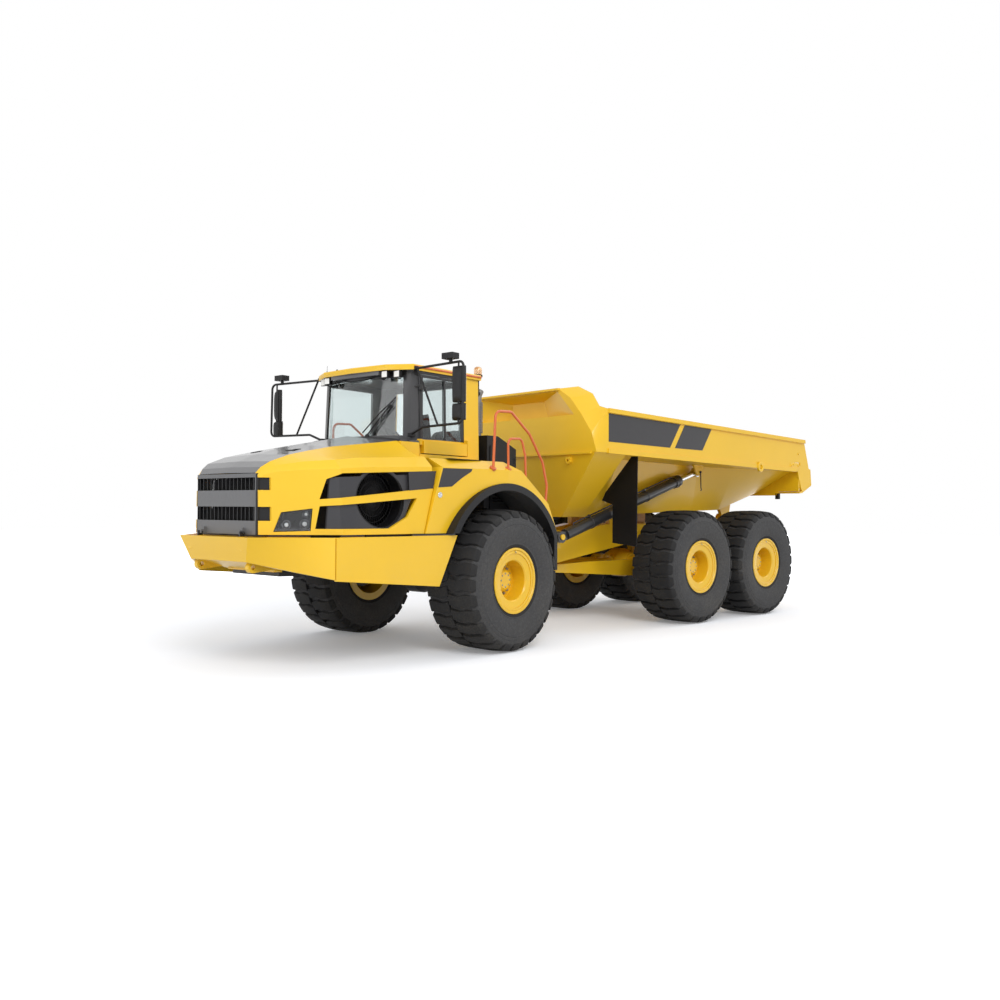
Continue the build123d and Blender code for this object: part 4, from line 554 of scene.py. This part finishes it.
finish("grille_grey", (0.14, 0.141, 0.147), 0.42, coat=0.05, shine=0.35, grain=(520.0, 0.1), dust=0.04,
       marks=grille_ribs_and_shade)
dress("grille_grey", "grille")
corner_wraps = Form()
for low, high in GRILLE_GAPS:
    foot = [(x, y, low - 6) for x, y in ((3078, 536), (2966, 648), (2956, 638), (3064, 530))]
    corner_wraps.plate(foot, (0, 0, high - low + 12))
fit(corner_wraps.both_sides(), "grille_corner_wraps", *HOOD_BLACK, soft=2)
level_wire = Form()
level_wire.block((3066, -534, 0), (3070, 534, 2.5))
upright_wire = Form()
upright_wire.block((3062, -534, 0), (3066, -530, 150))
netting = Form()
for low, count in ((1650, 16), (1980, 15)):
    netting.take(repeated(level_wire, count, (0, 0, 10), start=(0, 0, low + 2)))
    netting.take(repeated(upright_wire, 90, (0, 11.9, 0), start=(0, 0, low)))
fit(netting, "grille_netting", *HOOD_BLACK)
finish("trim_silver", (0.55, 0.56, 0.57), 0.24, metallic=0.9, coat=0.3, grain=(300.0, 0.03), dust=0.05,
       shift=0.02)


# Headlamps: a deep black tub in each corner of the hood with three bowl reflectors round white bulbs,
# closed by a clear moulded cover.
def clear(name, tint, roughness, transmission=1.0):
    """Glass: a faint tint, with dust that makes it a little rougher in patches."""
    look, tree, place = new_look(name)
    smear = band(tree, noise(tree, place, 4.0, 5.0), 0.45, 0.8)
    film = put(tree, "Group", {"Amount": 0.15, "Height": 3.0}, node_tree=dust_tree).outputs["Mask"]
    feed(tree, tree.nodes["Principled BSDF"], {
        "Base Color": blend_colour(tree, film, (*tint, 1), (0.7, 0.68, 0.62, 1)), "IOR": 1.45,
        "Roughness": product(tree, smear, roughness), "Transmission Weight": transmission})
    LOOKS[name] = look


clear("lamp_cover", (0.80, 0.82, 0.84), 0.06)
finish("lamp_bowl", (0.16, 0.16, 0.17), 0.16, metallic=1.0, grain=(300.0, 0.02), dust=0.0, shift=0.01)
finish("lamp_white", (0.93, 0.93, 0.91), 0.25, coat=0.6, grain=(300.0, 0.02), dust=0.0, shift=0.01)
LAMP_PLANE = 3670
LAMP_CORNERS = [Vector((LAMP_PLANE - y, y, z))
                for y, z in ((696, 1540), (753, 1745), (981, 1786), (969, 1551))]
LAMP_BOWLS = (789, 1612, 44), (925, 1622, 46), (934, 1728, 30)
inwards = Vector((-1, -1, 0)).normalized()
middle = sum(LAMP_CORNERS, Vector()) / 4


def lamp_ring(depth, share):
    """The lamp's outline at a depth behind the hood's corner, shrunk towards its middle."""
    return [middle + (corner - middle) * share + inwards * depth for corner in LAMP_CORNERS]


lamps = Form()
for section in ([(3, 0.995), (3, 0.95), (62, 0.88), (66, 0.2)], [(66, 0.2), (66, 0.05)],
                [(3, 0.995), (76, 0.93), (78, 0.2)]):
    lamps.skin([lamp_ring(depth, share) for depth, share in section], capped=False)
for y, z, size in LAMP_BOWLS:
    centre = Vector((LAMP_PLANE - y, y, z)) + inwards * 60
    bowl = [(size + 6, -6), (size + 6, 34), (size, 36), (size * 0.72, 12), (size * 0.3, 2), (0.5, 2)]
    lamps.lathe(bowl, centre, -inwards, 32, 1)
    lamps.lathe([(size * 0.55, 4), (size * 0.55, 22), (size * 0.3, 30), (0.5, 31)], centre, -inwards, 24, 2)
fit(lamps.both_sides(), "headlamp_units", "hood", "lamp_plastic", ["vent_black", "lamp_bowl", "lamp_white"])
covers = Form()
covers.skin([lamp_ring(-1, 0.985), lamp_ring(2, 0.99)])
covers = fit(covers.both_sides(), "headlamp_covers", "hood", "window_glass", "lamp_cover", soft=1)
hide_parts("headlamps")

# Side intakes: grey ducts behind the hood's windows, each with a black fan behind a ribbed guard,
# and two small oval vents ahead of it.
FAN_X, FAN_Z, FAN_R = 1930, 1900, 330
GUARD = (FAN_X, 1105, FAN_Z)
GUARD_R = FAN_R - 14


def fan_black(tree, place, shade):
    """The fan's disc is black, and its surround grey."""
    along = math(tree, "SUBTRACT", coordinate(tree, place, "X"), axle.x + FAN_X / 1000)
    up = math(tree, "SUBTRACT", coordinate(tree, place, "Z"), FAN_Z / 1000)
    far = math(tree, "SQRT", math(tree, "ADD", product(tree, along, along), product(tree, up, up)))
    return blend_colour(tree, above(tree, far, (FAN_R - 0.5) / 1000, 0.0025), (*BLACK, 1), shade)


finish("duct_grey", (0.04, 0.04, 0.045), 0.42, grain=(420.0, 0.15), dust=0.1, marks=fan_black, shine=0.35)
dress("duct_grey", "side_intakes")
rib = Form()
rib.plate([(60, 0, -3), (GUARD_R, 0, -3), (GUARD_R, 0, 3), (60, 0, 3)], (0, 8, 0))
guard = Form()
guard.take(ring_of(rib, 48, start=GUARD))
for radius in (64, 130, 200, 268, GUARD_R):
    guard.lathe([(radius, 0), (radius, 10), (radius - 6, 10), (radius - 6, 0)], GUARD, ASIDE, 48)
guard.lathe([(60, 0), (60, 14), (48, 22), (0.5, 24)], GUARD, ASIDE)
angles = [pi * step / 12 for step in range(24)]
for x, z, half, tall in ((2471, 1711, 30, 80), (2380, 1700, 22, 74)):
    guard.plate([(x + half * cos(angle), 1103, z + tall * sin(angle)) for angle in angles], (0, 6, 0))
fit(guard.both_sides(), "fan_guards", *HOOD_BLACK)


# Cab: a welded steel frame, black round the windscreen and doors and yellow on its rear posts and band.
# It is lined in dark grey, and carries a rain rim, gutters, a sun visor, a wiper and aerials.
REAR_POST, BELT, SCUTTLE = 0.104, 2.656, 2.603
LINING_HALF_WIDTH, LINING_BACK, LINING_FLOOR = 0.861, -0.165, 2.075
LINING_GREY = (0.03, 0.03, 0.033, 1)


def cab_coat(tree, place, shade):
    """Where black takes over from yellow: ahead of the rear post above the belt, and all of the inside."""
    x = math(tree, "SUBTRACT", coordinate(tree, place, "X"), axle.x)
    z = coordinate(tree, place, "Z")
    frame_black = product(tree, above(tree, x, REAR_POST), above(tree, z, BELT))
    between = math(tree, "LESS_THAN", off_centre(tree, place), LINING_HALF_WIDTH)
    ahead_of_back = math(tree, "GREATER_THAN", x, LINING_BACK)
    inside = product(tree, between, ahead_of_back, above(tree, z, LINING_FLOOR))
    return blend_colour(tree, inside, black_where(tree, frame_black, shade), LINING_GREY)


def cowl_coat(tree, place, shade):
    """The scuttle under the windscreen is black; the cowl's sides are yellow."""
    return black_where(tree, above(tree, coordinate(tree, place, "Z"), SCUTTLE, 0.003), shade)


finish("cab_paint", YELLOW, 0.38, coat=0.25, dust=0.07, marks=cab_coat, shine=0.4)
finish("cowl_paint", YELLOW, 0.38, coat=0.25, dust=0.07, marks=cowl_coat, shine=0.4)
dress("cab_paint", "cab_shell", "cab_door")
dress("cowl_paint", "cowl")
dress("cover_grey", "cab_roof")
clear("window_glass", (0.80, 0.86, 0.86), 0.03)
dress("window_glass", "cab_glass", "door_glass")
finish("arch_black", (0.007, 0.007, 0.008), 0.52, grain=(420.0, 0.22), dust=0.12, shine=0.3)
dress("arch_black", "dashboard")


def roof_edge(grow, z):
    """The roof's outline at a height, grown outwards."""
    side = [(-210 - grow, 900 + grow), (1043 + grow * 0.5, 880 + grow), (1215 + grow, 572 + grow * 0.5),
            (1255 + grow, 0)]
    return [(x, y, z) for x, y in side] + [(x, -y, z) for x, y in reversed(side[:-1])]


rim = Form()
for section in ([(-6, 3498), (4, 3498), (6, 3510), (6, 3556), (-2, 3568), (-70, 3568), (-70, 3562)],
                [(-70, 3562), (-6, 3562), (-6, 3498)]):
    rim.skin([roof_edge(grow, z) for grow, z in section], capped=False)
fit(rim, "roof_rim", "front_frame", "body_yellow", "body_yellow", angle=25)
finish("rail_orange", (0.66, 0.125, 0.02), 0.4, coat=0.3, dust=0.12)
gutters = Form()
gutters.tube([(-205, 912, 3538), (1030, 894, 3538)], 13)
fit(gutters.both_sides(), "roof_gutters", "front_frame", "rail_orange", "rail_orange")
visor = Form()
visor_line = [(930, 852), (1108, 560), (1146, 0), (1108, -560), (930, -852)]
visor.skin([[(x + out, y, z) for x, y in visor_line]
            + [(x + out - 26, y * 0.98, z) for x, y in reversed(visor_line)]
            for out, z in ((0, 3500), (0, 3448), (-14, 3436))])
for y in (-640, -430, 430, 640):
    x = 1160 - 0.00026 * y * y
    visor.tube([(x, y - 34, 3446), (x, y - 34, 3408), (x, y + 34, 3402), (x, y + 34, 3446)], 7, 16, 6)
visor.tube([(1150, -300, 3450), (1158, -180, 3414), (1160, 180, 3414), (1150, 300, 3450)], 8, 60, 6)
fit(visor, "cab_visor", *FRONT_BLACK, soft=2)
wiper = Form()
wiper.tube([(1226, 250, 2700), (1206, 330, 2790), (1116, 560, 3080)], 9, 20)
wiper.tube([(1224, 270, 2690), (1200, 365, 2790), (1108, 590, 3075)], 6, 20)
wiper.tube([(1229, 180, 2740), (1176, 390, 2950), (1080, 620, 3170)], 8, 10)
wiper.lathe([(30, -14), (30, 16), (20, 26), (0.5, 26)], (1216, 255, 2694), (0.9, 0.15, 0.4), 20)
fit(wiper, "windscreen_wiper", *FRONT_BLACK, soft=1)
antenna = Form()
antenna.lathe([(22, 0), (20, 18), (8, 30), (5, 60), (0.5, 62)], (1010, -760, 3566), UP, 16)
antenna.tube([(1010, -760, 3600), (1004, -762, 3694)], 2.5, sides=6)
antenna.lathe([(16, 0), (16, 20), (9, 36), (0.5, 38)], (1130, -420, 3566), UP, 16)
fit(antenna, "roof_antenna", *FRONT_BLACK)


# Lamps on the cab: four square work lamps under the roof's front edge,
# and a flashing beacon with a clear dome on a post behind the left rear corner.
def standing(x, y, far_y, z, far_z):
    """The corners of a rectangle that stands across the truck."""
    return [(x, y, z), (x, far_y, z), (x, far_y, far_z), (x, y, far_z)]


clear("beacon_glass", (0.95, 0.62, 0.35), 0.05, 0.7)
work = Form()
for x, y in ((1080, -681), (1145, -535), (1145, 535), (1080, 681)):
    work.skin([standing(x, y - 44, y + 44, 3412, 3490), standing(x + 44, y - 50, y + 50, 3407, 3495),
               standing(x + 56, y - 50, y + 50, 3407, 3495)])
    work.block((x + 55, y - 43, 3414), (x + 60, y + 43, 3488), 1)
    work.block((x + 10, y - 8, 3488), (x + 34, y + 8, 3502))
POST = (-260, 810)
work.tube([(*POST, 3300), (*POST, 3572)], 18)
work.block((-284, 786, 3318), (-192, 834, 3358))
work.lathe([(62, 3560), (62, 3586), (56, 3592), (0.5, 3592)], (*POST, 0))
work.lathe([(22, 3588), (22, 3650), (10, 3660), (0.5, 3660)], (*POST, 0), steps=20, which=1)
work = fit(work, "cab_work_lamps", "front_frame", "lamp_plastic", ["vent_black", "lamp_white"], soft=2)
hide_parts("work_lamps")
dome = Form()
dome.lathe([(54, 3590), (55, 3600), (54, 3660), (46, 3684), (28, 3696), (0.5, 3699)], (*POST, 0))
fit(dome, "beacon_dome", "front_frame", "lamp_plastic", "beacon_glass", angle=40)

# Mirrors: black heads on a tube frame each side, with a flat and a wide-angle glass facing back.
# Their moulded shells bulge ahead. The right ones are turned further in towards the cab.
MIRROR_X, MIRROR_Y = 1085, 1675
MIRROR_HEADS = ((1, 0, 170, 60, 3040, 3460), (1, 0, 170, 60, 2830, 3025),
                (-1, 30, 170, 60, 3000, 3430), (-1, 20, 150, 70, 2785, 2995))
dress("arch_black", "mirrors")
finish("mirror_glass", (0.82, 0.84, 0.86), 0.04, metallic=1.0, grain=(300.0, 0.0), dust=0.05, shift=0.01)
panes = Form()
shells = Form()
bow = [pi * step / 12 - pi / 2 for step in range(13)]
for side, turned_by, width, depth, low, high in MIRROR_HEADS:
    place = Matrix.Rotation(radians(side * turned_by), 4, "Z")
    place.translation = (MIRROR_X, side * MIRROR_Y, 0)
    half = width / 2 - 12
    pane = standing(-depth / 2 - 1, -half, half, low + 14, high - 14)
    panes.plate([place @ Vector(corner) for corner in pane], place.to_3x3() @ Vector((4, 0, 0)))
    rings = []
    for row in range(13):
        z = low + (high - low) * row / 12
        bulge = 8 + 40 * (1 - (row / 6 - 1) ** 4) ** 0.5
        rings.append([place @ Vector((depth / 2 - 6 + bulge * cos(turn), (width / 2 + 3) * sin(turn), z))
                      for turn in bow])
    shells.skin(rings)
fit(panes, "mirror_panes", "front_frame", "arch_black", "mirror_glass", soft=1)
fit(shells, "mirror_shells", "front_frame", "arch_black", "arch_black", angle=50)

# Operator's seat: an air-sprung base in a rubber gaiter, bolted to the cab's floor, with a foam cushion
# and back under woven cloth.
finish("seat_fabric", (0.02, 0.021, 0.025), 0.85, grain=(900.0, 0.5), dust=0.02, shine=0.3)
SEAT_X, SEAT_FLOOR = 250, 2100


def pad(length, width, thickness, tilt, place):
    """A crowned cushion: its sides pull in between the corners, and a channel runs down each side."""
    form, steps = Form(), 14
    for half in (1, -1):
        rows = []
        for row in range(steps + 1):
            u = 2 * row / steps - 1
            line = []
            for column in range(steps + 1):
                v = 2 * column / steps - 1
                pinch = 1 - 0.035 * (1 - u * u) * abs(v) - 0.035 * (1 - v * v) * abs(u)
                crown = (max(0.0, 1 - u ** 4) * max(0.0, 1 - v ** 4)) ** 0.5
                groove = 0.12 * max(0.0, 1 - ((abs(v) - 0.62) / 0.06) ** 2) if half > 0 else 0.0
                height = half * thickness / 2 * crown * (1 - groove)
                line.append(Vector((u * length / 2 * pinch, v * width / 2 * pinch, height)))
            rows.append(line)
        form.skin(rows, capped=False, closed=False)
    matrix = Matrix.Translation(place) @ Matrix.Rotation(radians(tilt), 4, "Y")
    form.points = [matrix @ point for point in form.points]
    return form


cushion = pad(500, 500, 128, -4, (SEAT_X + 20, 0, SEAT_FLOOR + 312))
cushion = fit(cushion, "seat_cushion", "front_frame", "seat_fabric", "seat_fabric", angle=60, subdivide=1)
backrest = pad(600, 460, 115, 99, (SEAT_X - 222, 0, SEAT_FLOOR + 690))
backrest = fit(backrest, "seat_backrest", "front_frame", "seat_fabric", "seat_fabric", angle=60, subdivide=1)
seat_base, folds = Form(), []
for step in range(10):
    half, z = 180 if step % 2 else 164, SEAT_FLOOR + 4 + 27 * step
    folds.append([(SEAT_X + 10 + x * half, y * half, z) for x, y in SQUARE])
seat_base.skin(folds)
seat_base = fit(seat_base, "seat_base", "front_frame", "seat_fabric", "arch_black", soft=3)
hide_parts("operator_seat")

# Wings and deck: yellow steel over the front wheels, with black moulded liners in the arches, a bare
# dark panel that carries on the hood's, a round lock for the hood and a studded tread plate on top.
dress("body_yellow", "fenders")
dress("arch_black", "arch_liners")


def wing_y(x):
    """How far out the wing's side is."""
    return 1550 - 0.11 * max(0, x)


wing_panel = Form()
outline = [(1094, 2276), (625, 2282), (640, 2250), (795, 2167), (956, 2061), (1168, 2046)]
wing_panel.plate([(x, wing_y(x) + 3, z) for x, z in outline], (0, -6, 0))
fit(wing_panel.both_sides(), "wing_side_panels", "front_frame", "cover_grey", "panel_grey")
lock = Form()
lock.lathe([(34, -4), (34, 5), (30, 9), (14, 9), (12, 5), (0.5, 5)], (1140, wing_y(1140), 1958), (0.11, 1, 0))
fit(lock.both_sides(), "hood_locks", "front_frame", "stack_steel", "trim_silver", angle=30)
stud = Form()
stud.lathe([(15, 0), (13, 3), (0.5, 4)], steps=8)
deck_plate = Form()
for row in range(9):
    deck_plate.take(repeated(stud, 9, (60, 0, 0), start=(360 if row % 2 else 330, 970 + 44 * row, 2404)))
deck_plate.block((300, 955, 2399), (880, 1350, 2405))
fit(deck_plate.both_sides(), "deck_tread_plates", *FRONT_BLACK)

# Handrails: bent steel tube, sprayed orange-red before assembly.
# Each foot is welded to a round flange that is bolted to the wing.
dress("rail_orange", "handrails")
flanges = Form()
for x in (265, -40):
    flanges.lathe([(44, -14), (44, 4), (38, 8)], (x, 1515, 2312), (0, 0.53, 0.85), 24)
fit(flanges.both_sides(), "rail_flanges", "front_frame", "rail_orange", "rail_orange")

# Equipment bay: a black steel locker behind the cab for filters and tanks, with a louvred door each side,
# a round air cleaner on top and pipes down its front. An exhaust stack in a cage of hoops stands on it.
dress("arch_black", "equipment_bay")
bay = Form()
outline = [(-905, 1790), (-385, 1790), (-385, 2640), (-560, 2700), (-905, 2560)]
bay.plate([(x, 920, z) for x, z in outline], (0, 14, 0))
slat = Form()
slat.plate([(-840, 932, 0), (-840, 948, -18), (-840, 932, -22)], (400, 0, 0))
bay.take(repeated(slat, 12, (0, 0, 46), start=(0, 0, 1900)))
for z in (1860, 2460):
    bay.tube([(-905, 936, z - 40), (-905, 936, z + 40)], 12)
bay.block((-412, 930, 2150), (-392, 950, 2260))
fit(bay.both_sides(), "bay_doors", *FRONT_BLACK, soft=2)
cleaner, middle = Form(), (-700, 0, 2740)
cleaner.lathe([(150, -330), (165, -318), (165, 300), (150, 318), (60, 330), (0.5, 330)], middle, ASIDE, 40)
for y in (-240, 0, 240):
    cleaner.lathe([(171, y - 12), (171, y + 12), (160, y + 12), (160, y - 12)], middle, ASIDE, 40)
fit(cleaner, "air_cleaner", "front_frame", "arch_black", "arch_black", soft=3)
pipework = Form()
for y, z in ((600, 2560), (660, 2582), (720, 2604)):
    pipework.tube([(-330, y, z), (-250, y, z + 40), (-225, y, 2400), (-240, y, 1960)], 17, 60)
fit(pipework.both_sides(), "bay_pipework", *FRONT_BLACK)
finish("stack_steel", (0.22, 0.21, 0.20), 0.45, metallic=0.85, grain=(200.0, 0.12), dust=0.2)
dress("stack_steel", "exhaust_stack")
hoop = Form()
hoop.lathe([(60, 0), (60, 14), (56, 14), (56, 0)], (-400, 700, 2830), steps=24)
stay = Form()
stay.plate([(58, -4, 0), (62, -4, 0), (62, 4, 0), (58, 4, 0)], (0, 0, 420))
shield = Form()
shield.take(repeated(hoop, 12, (0, 0, 36), look="stack_steel"))
shield.take(ring_of(stay, 12, UP, "stack_steel", (-400, 700, 2820)))
fit(shield, "exhaust_shield", "front_frame", "stack_steel", "stack_steel")

# Hitch fixings: twelve heavy steel screws in a circle.
# They hold the cast ring that the trunnion twists in.
RING_FACE, RING_RADIUS, TRUNNION_Z = -1695, 250, 1040
fixings, head = Form(), cap_screw(18, 16)
facing = Vector(AHEAD).to_track_quat("Z", "Y")
for angle in (2 * pi * step / 12 for step in range(12)):
    seat = Vector((RING_FACE, RING_RADIUS * cos(angle), TRUNNION_Z + RING_RADIUS * sin(angle)))
    fixings.add([seat + facing @ corner for corner in head.points], head.faces)
fit(fixings, "hitch_ring_screws", "hitch", "frame_grey", "pin_steel", REAR)

# Valve block: a machined iron manifold, sprayed with the frame and bolted on it behind the hitch.
# Six short hard pipes leave its front.
valves = Form()
valves.block((-2200, -270, 1312), (-1880, 270, 1480))
valves.block((-2160, -230, 1478), (-1940, 230, 1540))
for y in (-200, -120, -40, 40, 120, 200):
    valves.lathe([(30, -4), (30, 30), (20, 34), (20, 52), (0.5, 52)], (-1882, y, 1410), AHEAD, 16)
    valves.tube([(-1850, y, 1410), (-1800, y, 1412), (-1794, y, 1350)], 14, 40)
fit(valves, "valve_block", "rear_frame", "frame_grey", "frame_grey", REAR, soft=3)

# Steering and tipping cylinders: honed steel tubes, sprayed charcoal, with chromed rods.
# A feed pipe runs along each tipping cylinder in two clamps.
finish("cylinder_paint", (0.018, 0.018, 0.02), 0.36, coat=0.3, dust=0.08)
finish("rod_chrome", (0.72, 0.73, 0.75), 0.1, metallic=1.0, grain=(500.0, 0.02), dust=0.1, shift=0.01)
for side in ("left", "right"):
    dress("cylinder_paint", "steer_barrel_" + side, "hoist_barrel_" + side)
    dress("rod_chrome", "steer_rod_" + side, "hoist_rod_" + side)
    foot = Matrix.Translation((-2010, 940 if side == "left" else -940, 1390))
    along_hoist = REAR @ foot @ Matrix.Rotation(atan2(1050, 3380), 4, "Y")
    pipe = Form()
    pipe.tube([(-330, 0, 80), (-330, 0, 108), (-2830, 0, 108), (-2880, 0, 84)], 12, 26)
    for x in (-700, -2100):
        pipe.lathe([(88, -20), (93, -16), (93, 16), (88, 20)], (x, 0, 0), AHEAD, 40)
        pipe.block((x - 16, -22, 86), (x + 16, 22, 124))
    pipe.lathe([(99, -10), (104, -4), (104, 20), (99, 26)], (-2960, 0, 0), AHEAD, 40)
    barrel = "hoist_barrel_" + side
    fit(pipe, "hoist_feed_pipe_" + side, barrel, "cylinder_paint", "cylinder_paint", along_hoist)


# Wheels: wide earth-mover tyres with 28 blocks a side on a smooth charcoal carcass, on yellow
# three-piece rims with a ring of wheel nuts and a planetary hub cap.
def wear(tree, place, shade):
    """Rubber turns greyer in scattered specks."""
    speck = band(tree, noise(tree, place, 30.0, 6.0, 0.7), 0.4, 0.7)
    return blend_colour(tree, speck, shade, (0.062, 0.062, 0.064, 1))


def facing_out(form, offset):
    """Turns a form to face out of the wheel and moves it off the hub's middle."""
    form.points = [Matrix.Rotation(-pi / 2, 4, "X") @ point + Vector(offset) for point in form.points]
    return form


# Both rubbers carry a painted highlight along their edges, strongest on the tread blocks.
finish("tyre_rubber", (0.046, 0.046, 0.048), 0.75, grain=(260.0, 0.4), dust=0.1, marks=wear, edge=0.008,
       pale=1.4, height=1.9, shine=0.35)
finish("tread_rubber", (0.018, 0.018, 0.019), 0.8, grain=(200.0, 0.6), dust=0.1, edge=0.008, pale=2.0,
       height=1.9, shine=0.3)
WHEEL_RADIUS = 895
BEAD = [(346, 339), (421, 339.5), (427, 345), (440, 353), (458, 358)]
WALL = [(458, 358), (462, 363), (470, 364), (476, 361), (520, 374), (580, 384), (640, 389), (690, 390),
        (700, 390), (704, 386), (712, 386), (716, 389), (742, 386), (748, 381), (756, 381), (772, 379),
        (806, 366), (832, 348), (846, 330), (849, 200), (850, 6)]
BLOCKS = 28
BLOCK_FOOT = 842
# Each row of a block: distance from the tyre's middle, top radius, offset round the tyre, half its length.
BLOCK_ROWS = [(8, 893, 0, 66), (110, 893, 22, 70), (135, 892, 30, 70), (235, 889, 4, 72), (330, 879, 14, 74),
              (350, 868, 15, 74), (368, 838, 16, 70), (376, 808, 16, 60)]
block_rings = []
for y, top, offset, half in BLOCK_ROWS:
    base = min(BLOCK_FOOT, top - 14)
    ring = [(-half - 8, base), (-half, top - 5), (-half + 6, top), (0, top + 2 if top > 880 else top),
            (half - 6, top), (half, top - 5), (half + 8, base)]
    ring = [(radius, (offset + along) / WHEEL_RADIUS) for along, radius in ring]
    block_rings.append([(radius * sin(angle), y, radius * cos(angle)) for radius, angle in ring])
block = Form()
block.skin(block_rings)
blocks = ring_of(block, BLOCKS, look="tread_rubber")
nuts = ring_of(facing_out(cap_screw(15, 26), (0, 100, 188)), 16, look="pin_steel")
hub_plugs = ring_of(facing_out(cap_screw(9, 9), (0, 188, 84)), 8, look="pin_steel")
clip = Form()
clip.plate([(-9, 351, 394), (9, 351, 394), (9, 351, 402), (-9, 351, 402)], (0, 4, 0))
clips = ring_of(clip, 24, look="body_yellow")
for end in ("front", "middle", "rear"):
    for side in ("left", "right"):
        name = end + "_" + side
        hub = sum(map(Vector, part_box("tyre_" + name)), Vector()) / 2
        turn_by = (0 if side == "left" else pi) + (0 if end == "front" else PARKED_TURN)
        place = Matrix.Translation((hub.x, hub.y, WHEEL_RADIUS / 1000)) @ Matrix.Rotation(turn_by, 4, "Z")
        place = place @ Matrix.Scale(0.001, 4)
        tyre = Form()
        tyre.lathe(WALL + [(radius, -y) for radius, y in reversed(WALL)], axis=ASIDE, steps=112, capped=False)
        tyre.lathe([(radius, -y) for radius, y in reversed(BEAD)] + BEAD, (0, 0, 0), ASIDE, 112, 1, False)
        tyre.take(blocks, 1)
        other = Matrix.Rotation(pi / BLOCKS, 4, "Y") @ Matrix.Scale(-1, 4, ASIDE)
        tyre.add([other @ vertex.co for vertex in blocks.vertices],
                 [list(reversed(polygon.vertices)) for polygon in blocks.polygons], 1)
        rubber = ["tyre_rubber", "tread_rubber"]
        tyre = fit(tyre, "tread_" + name, "wheel_" + name, "tyre_rubber", rubber, place, angle=28)
        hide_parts("tyre_" + name)
        dress("body_yellow", "rim_" + name)
        hardware = Form()
        hardware.take(nuts, 1)
        hardware.take(hub_plugs, 1)
        hardware.take(clips)
        hardware.tube([(0, 330, 372), (0, 352, 366), (0, 362, 350)], 5, 6, which=1)
        metals = ["body_yellow", "pin_steel"]
        fit(hardware, "wheel_nuts_" + name, "wheel_" + name, "rod_chrome", metals, place)


# Dump body: folded wear plate in yellow, with bare dark panels near the front, a ring and a bolted plate
# on each side, prop pins, rubber buffers at the tail and rubber flaps hung ahead of the middle wheels.
def load_wear(tree, place, shade):
    """Sliding rock scuffs the paint a little darker in long streaks."""
    streaks = put(tree, "Mapping", {"Vector": place, "Scale": (0.6, 7.0, 4.0)}).outputs[0]
    scuff = band(tree, noise(tree, streaks, 2.5, 8.0, 0.7), 0.62, 0.85)
    return blend_colour(tree, product(tree, scuff, 0.15), shade, (0.36, 0.2, 0.03, 1))


finish("dump_paint", YELLOW, 0.4, coat=0.2, dust=0.06, marks=load_wear)
finish("flap_rubber", (0.004, 0.004, 0.005), 0.6, grain=(160.0, 0.3), dust=0.06, shine=0.25)
dress("dump_paint", "dump_body")
dress("flap_rubber", "mud_flaps")
side_plates = Form()
for outline in ([(-2305, 3173), (-4030, 3127), (-3765, 2752), (-2305, 2768)],
                [(-4146, 3124), (-4880, 3104), (-4626, 2750), (-3890, 2752)]):
    side_plates.plate([(x, 1599, z) for x, z in outline], (0, 4, 0))
fit(side_plates.both_sides(), "body_side_panels", "dump_body", "cover_grey", "panel_grey", REAR)
rings = Form()
rings.lathe([(88, -6), (88, 20), (80, 26), (48, 26), (40, 20), (40, -6)], (-6336, 1616, 2545), ASIDE, 40)
rings.block((-6480, 1600, 2530), (-6200, 1622, 2562))
rings.plate([(-7700, 1598, 2565), (-7380, 1598, 2558), (-7380, 1598, 2668), (-7700, 1598, 2662)], (0, 6, 0))
for x, z in ((-7672, 2829), (-7488, 2633), (-7660, 2612), (-7420, 2612)):
    rings.lathe([(17, -4), (17, 8), (12, 12), (0.5, 12)], (x, 1604, z), ASIDE, 20)
fit(rings.both_sides(), "body_side_rings", "dump_body", "body_yellow", "body_yellow", REAR, angle=30)
prop = Form()
prop.tube([(-5395, 1046, 2440), (-5402, 1046, 2170), (-5420, 1046, 2148), (-5400, 1046, 2126)], 9, 14)
prop.lathe([(20, -14), (20, 8), (15, 12), (0.5, 12)], (-5395, 1046, 2440), ASIDE, 20)
fit(prop.both_sides(), "body_prop_pins", "dump_body", "frame_grey", "frame_grey", REAR)
stubs = Form()
stubs.block((-7765, 1115, 2006), (-7700, 1185, 2116))
fit(stubs.both_sides(), "tail_buffers", "dump_body", "flap_rubber", "flap_rubber", REAR, soft=5)

# Tail lamps: two black steel boxes bolted on the rear frame's end.
# Each has two red lenses and a white one, moulded in plastic.
finish("lens_red", (0.55, 0.012, 0.01), 0.2, coat=0.8, grain=(120.0, 0.15), dust=0.15)
tail = Form()
tail.plate(standing(-7082, 300, 620, 1400, 1530), (-50, 0, 0))
for y, which in ((352, 1), (446, 1), (540, 2)):
    tail.lathe([(40, 0), (40, 10), (30, 18), (0.5, 20)], (-7132, y, 1465), (-1, 0, 0), 28, which)
lenses = ["vent_black", "lens_red", "lamp_white"]
fit(tail.both_sides(), "tail_lamps", "rear_frame", "lamp_plastic", lenses, REAR, soft=3)

low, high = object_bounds()
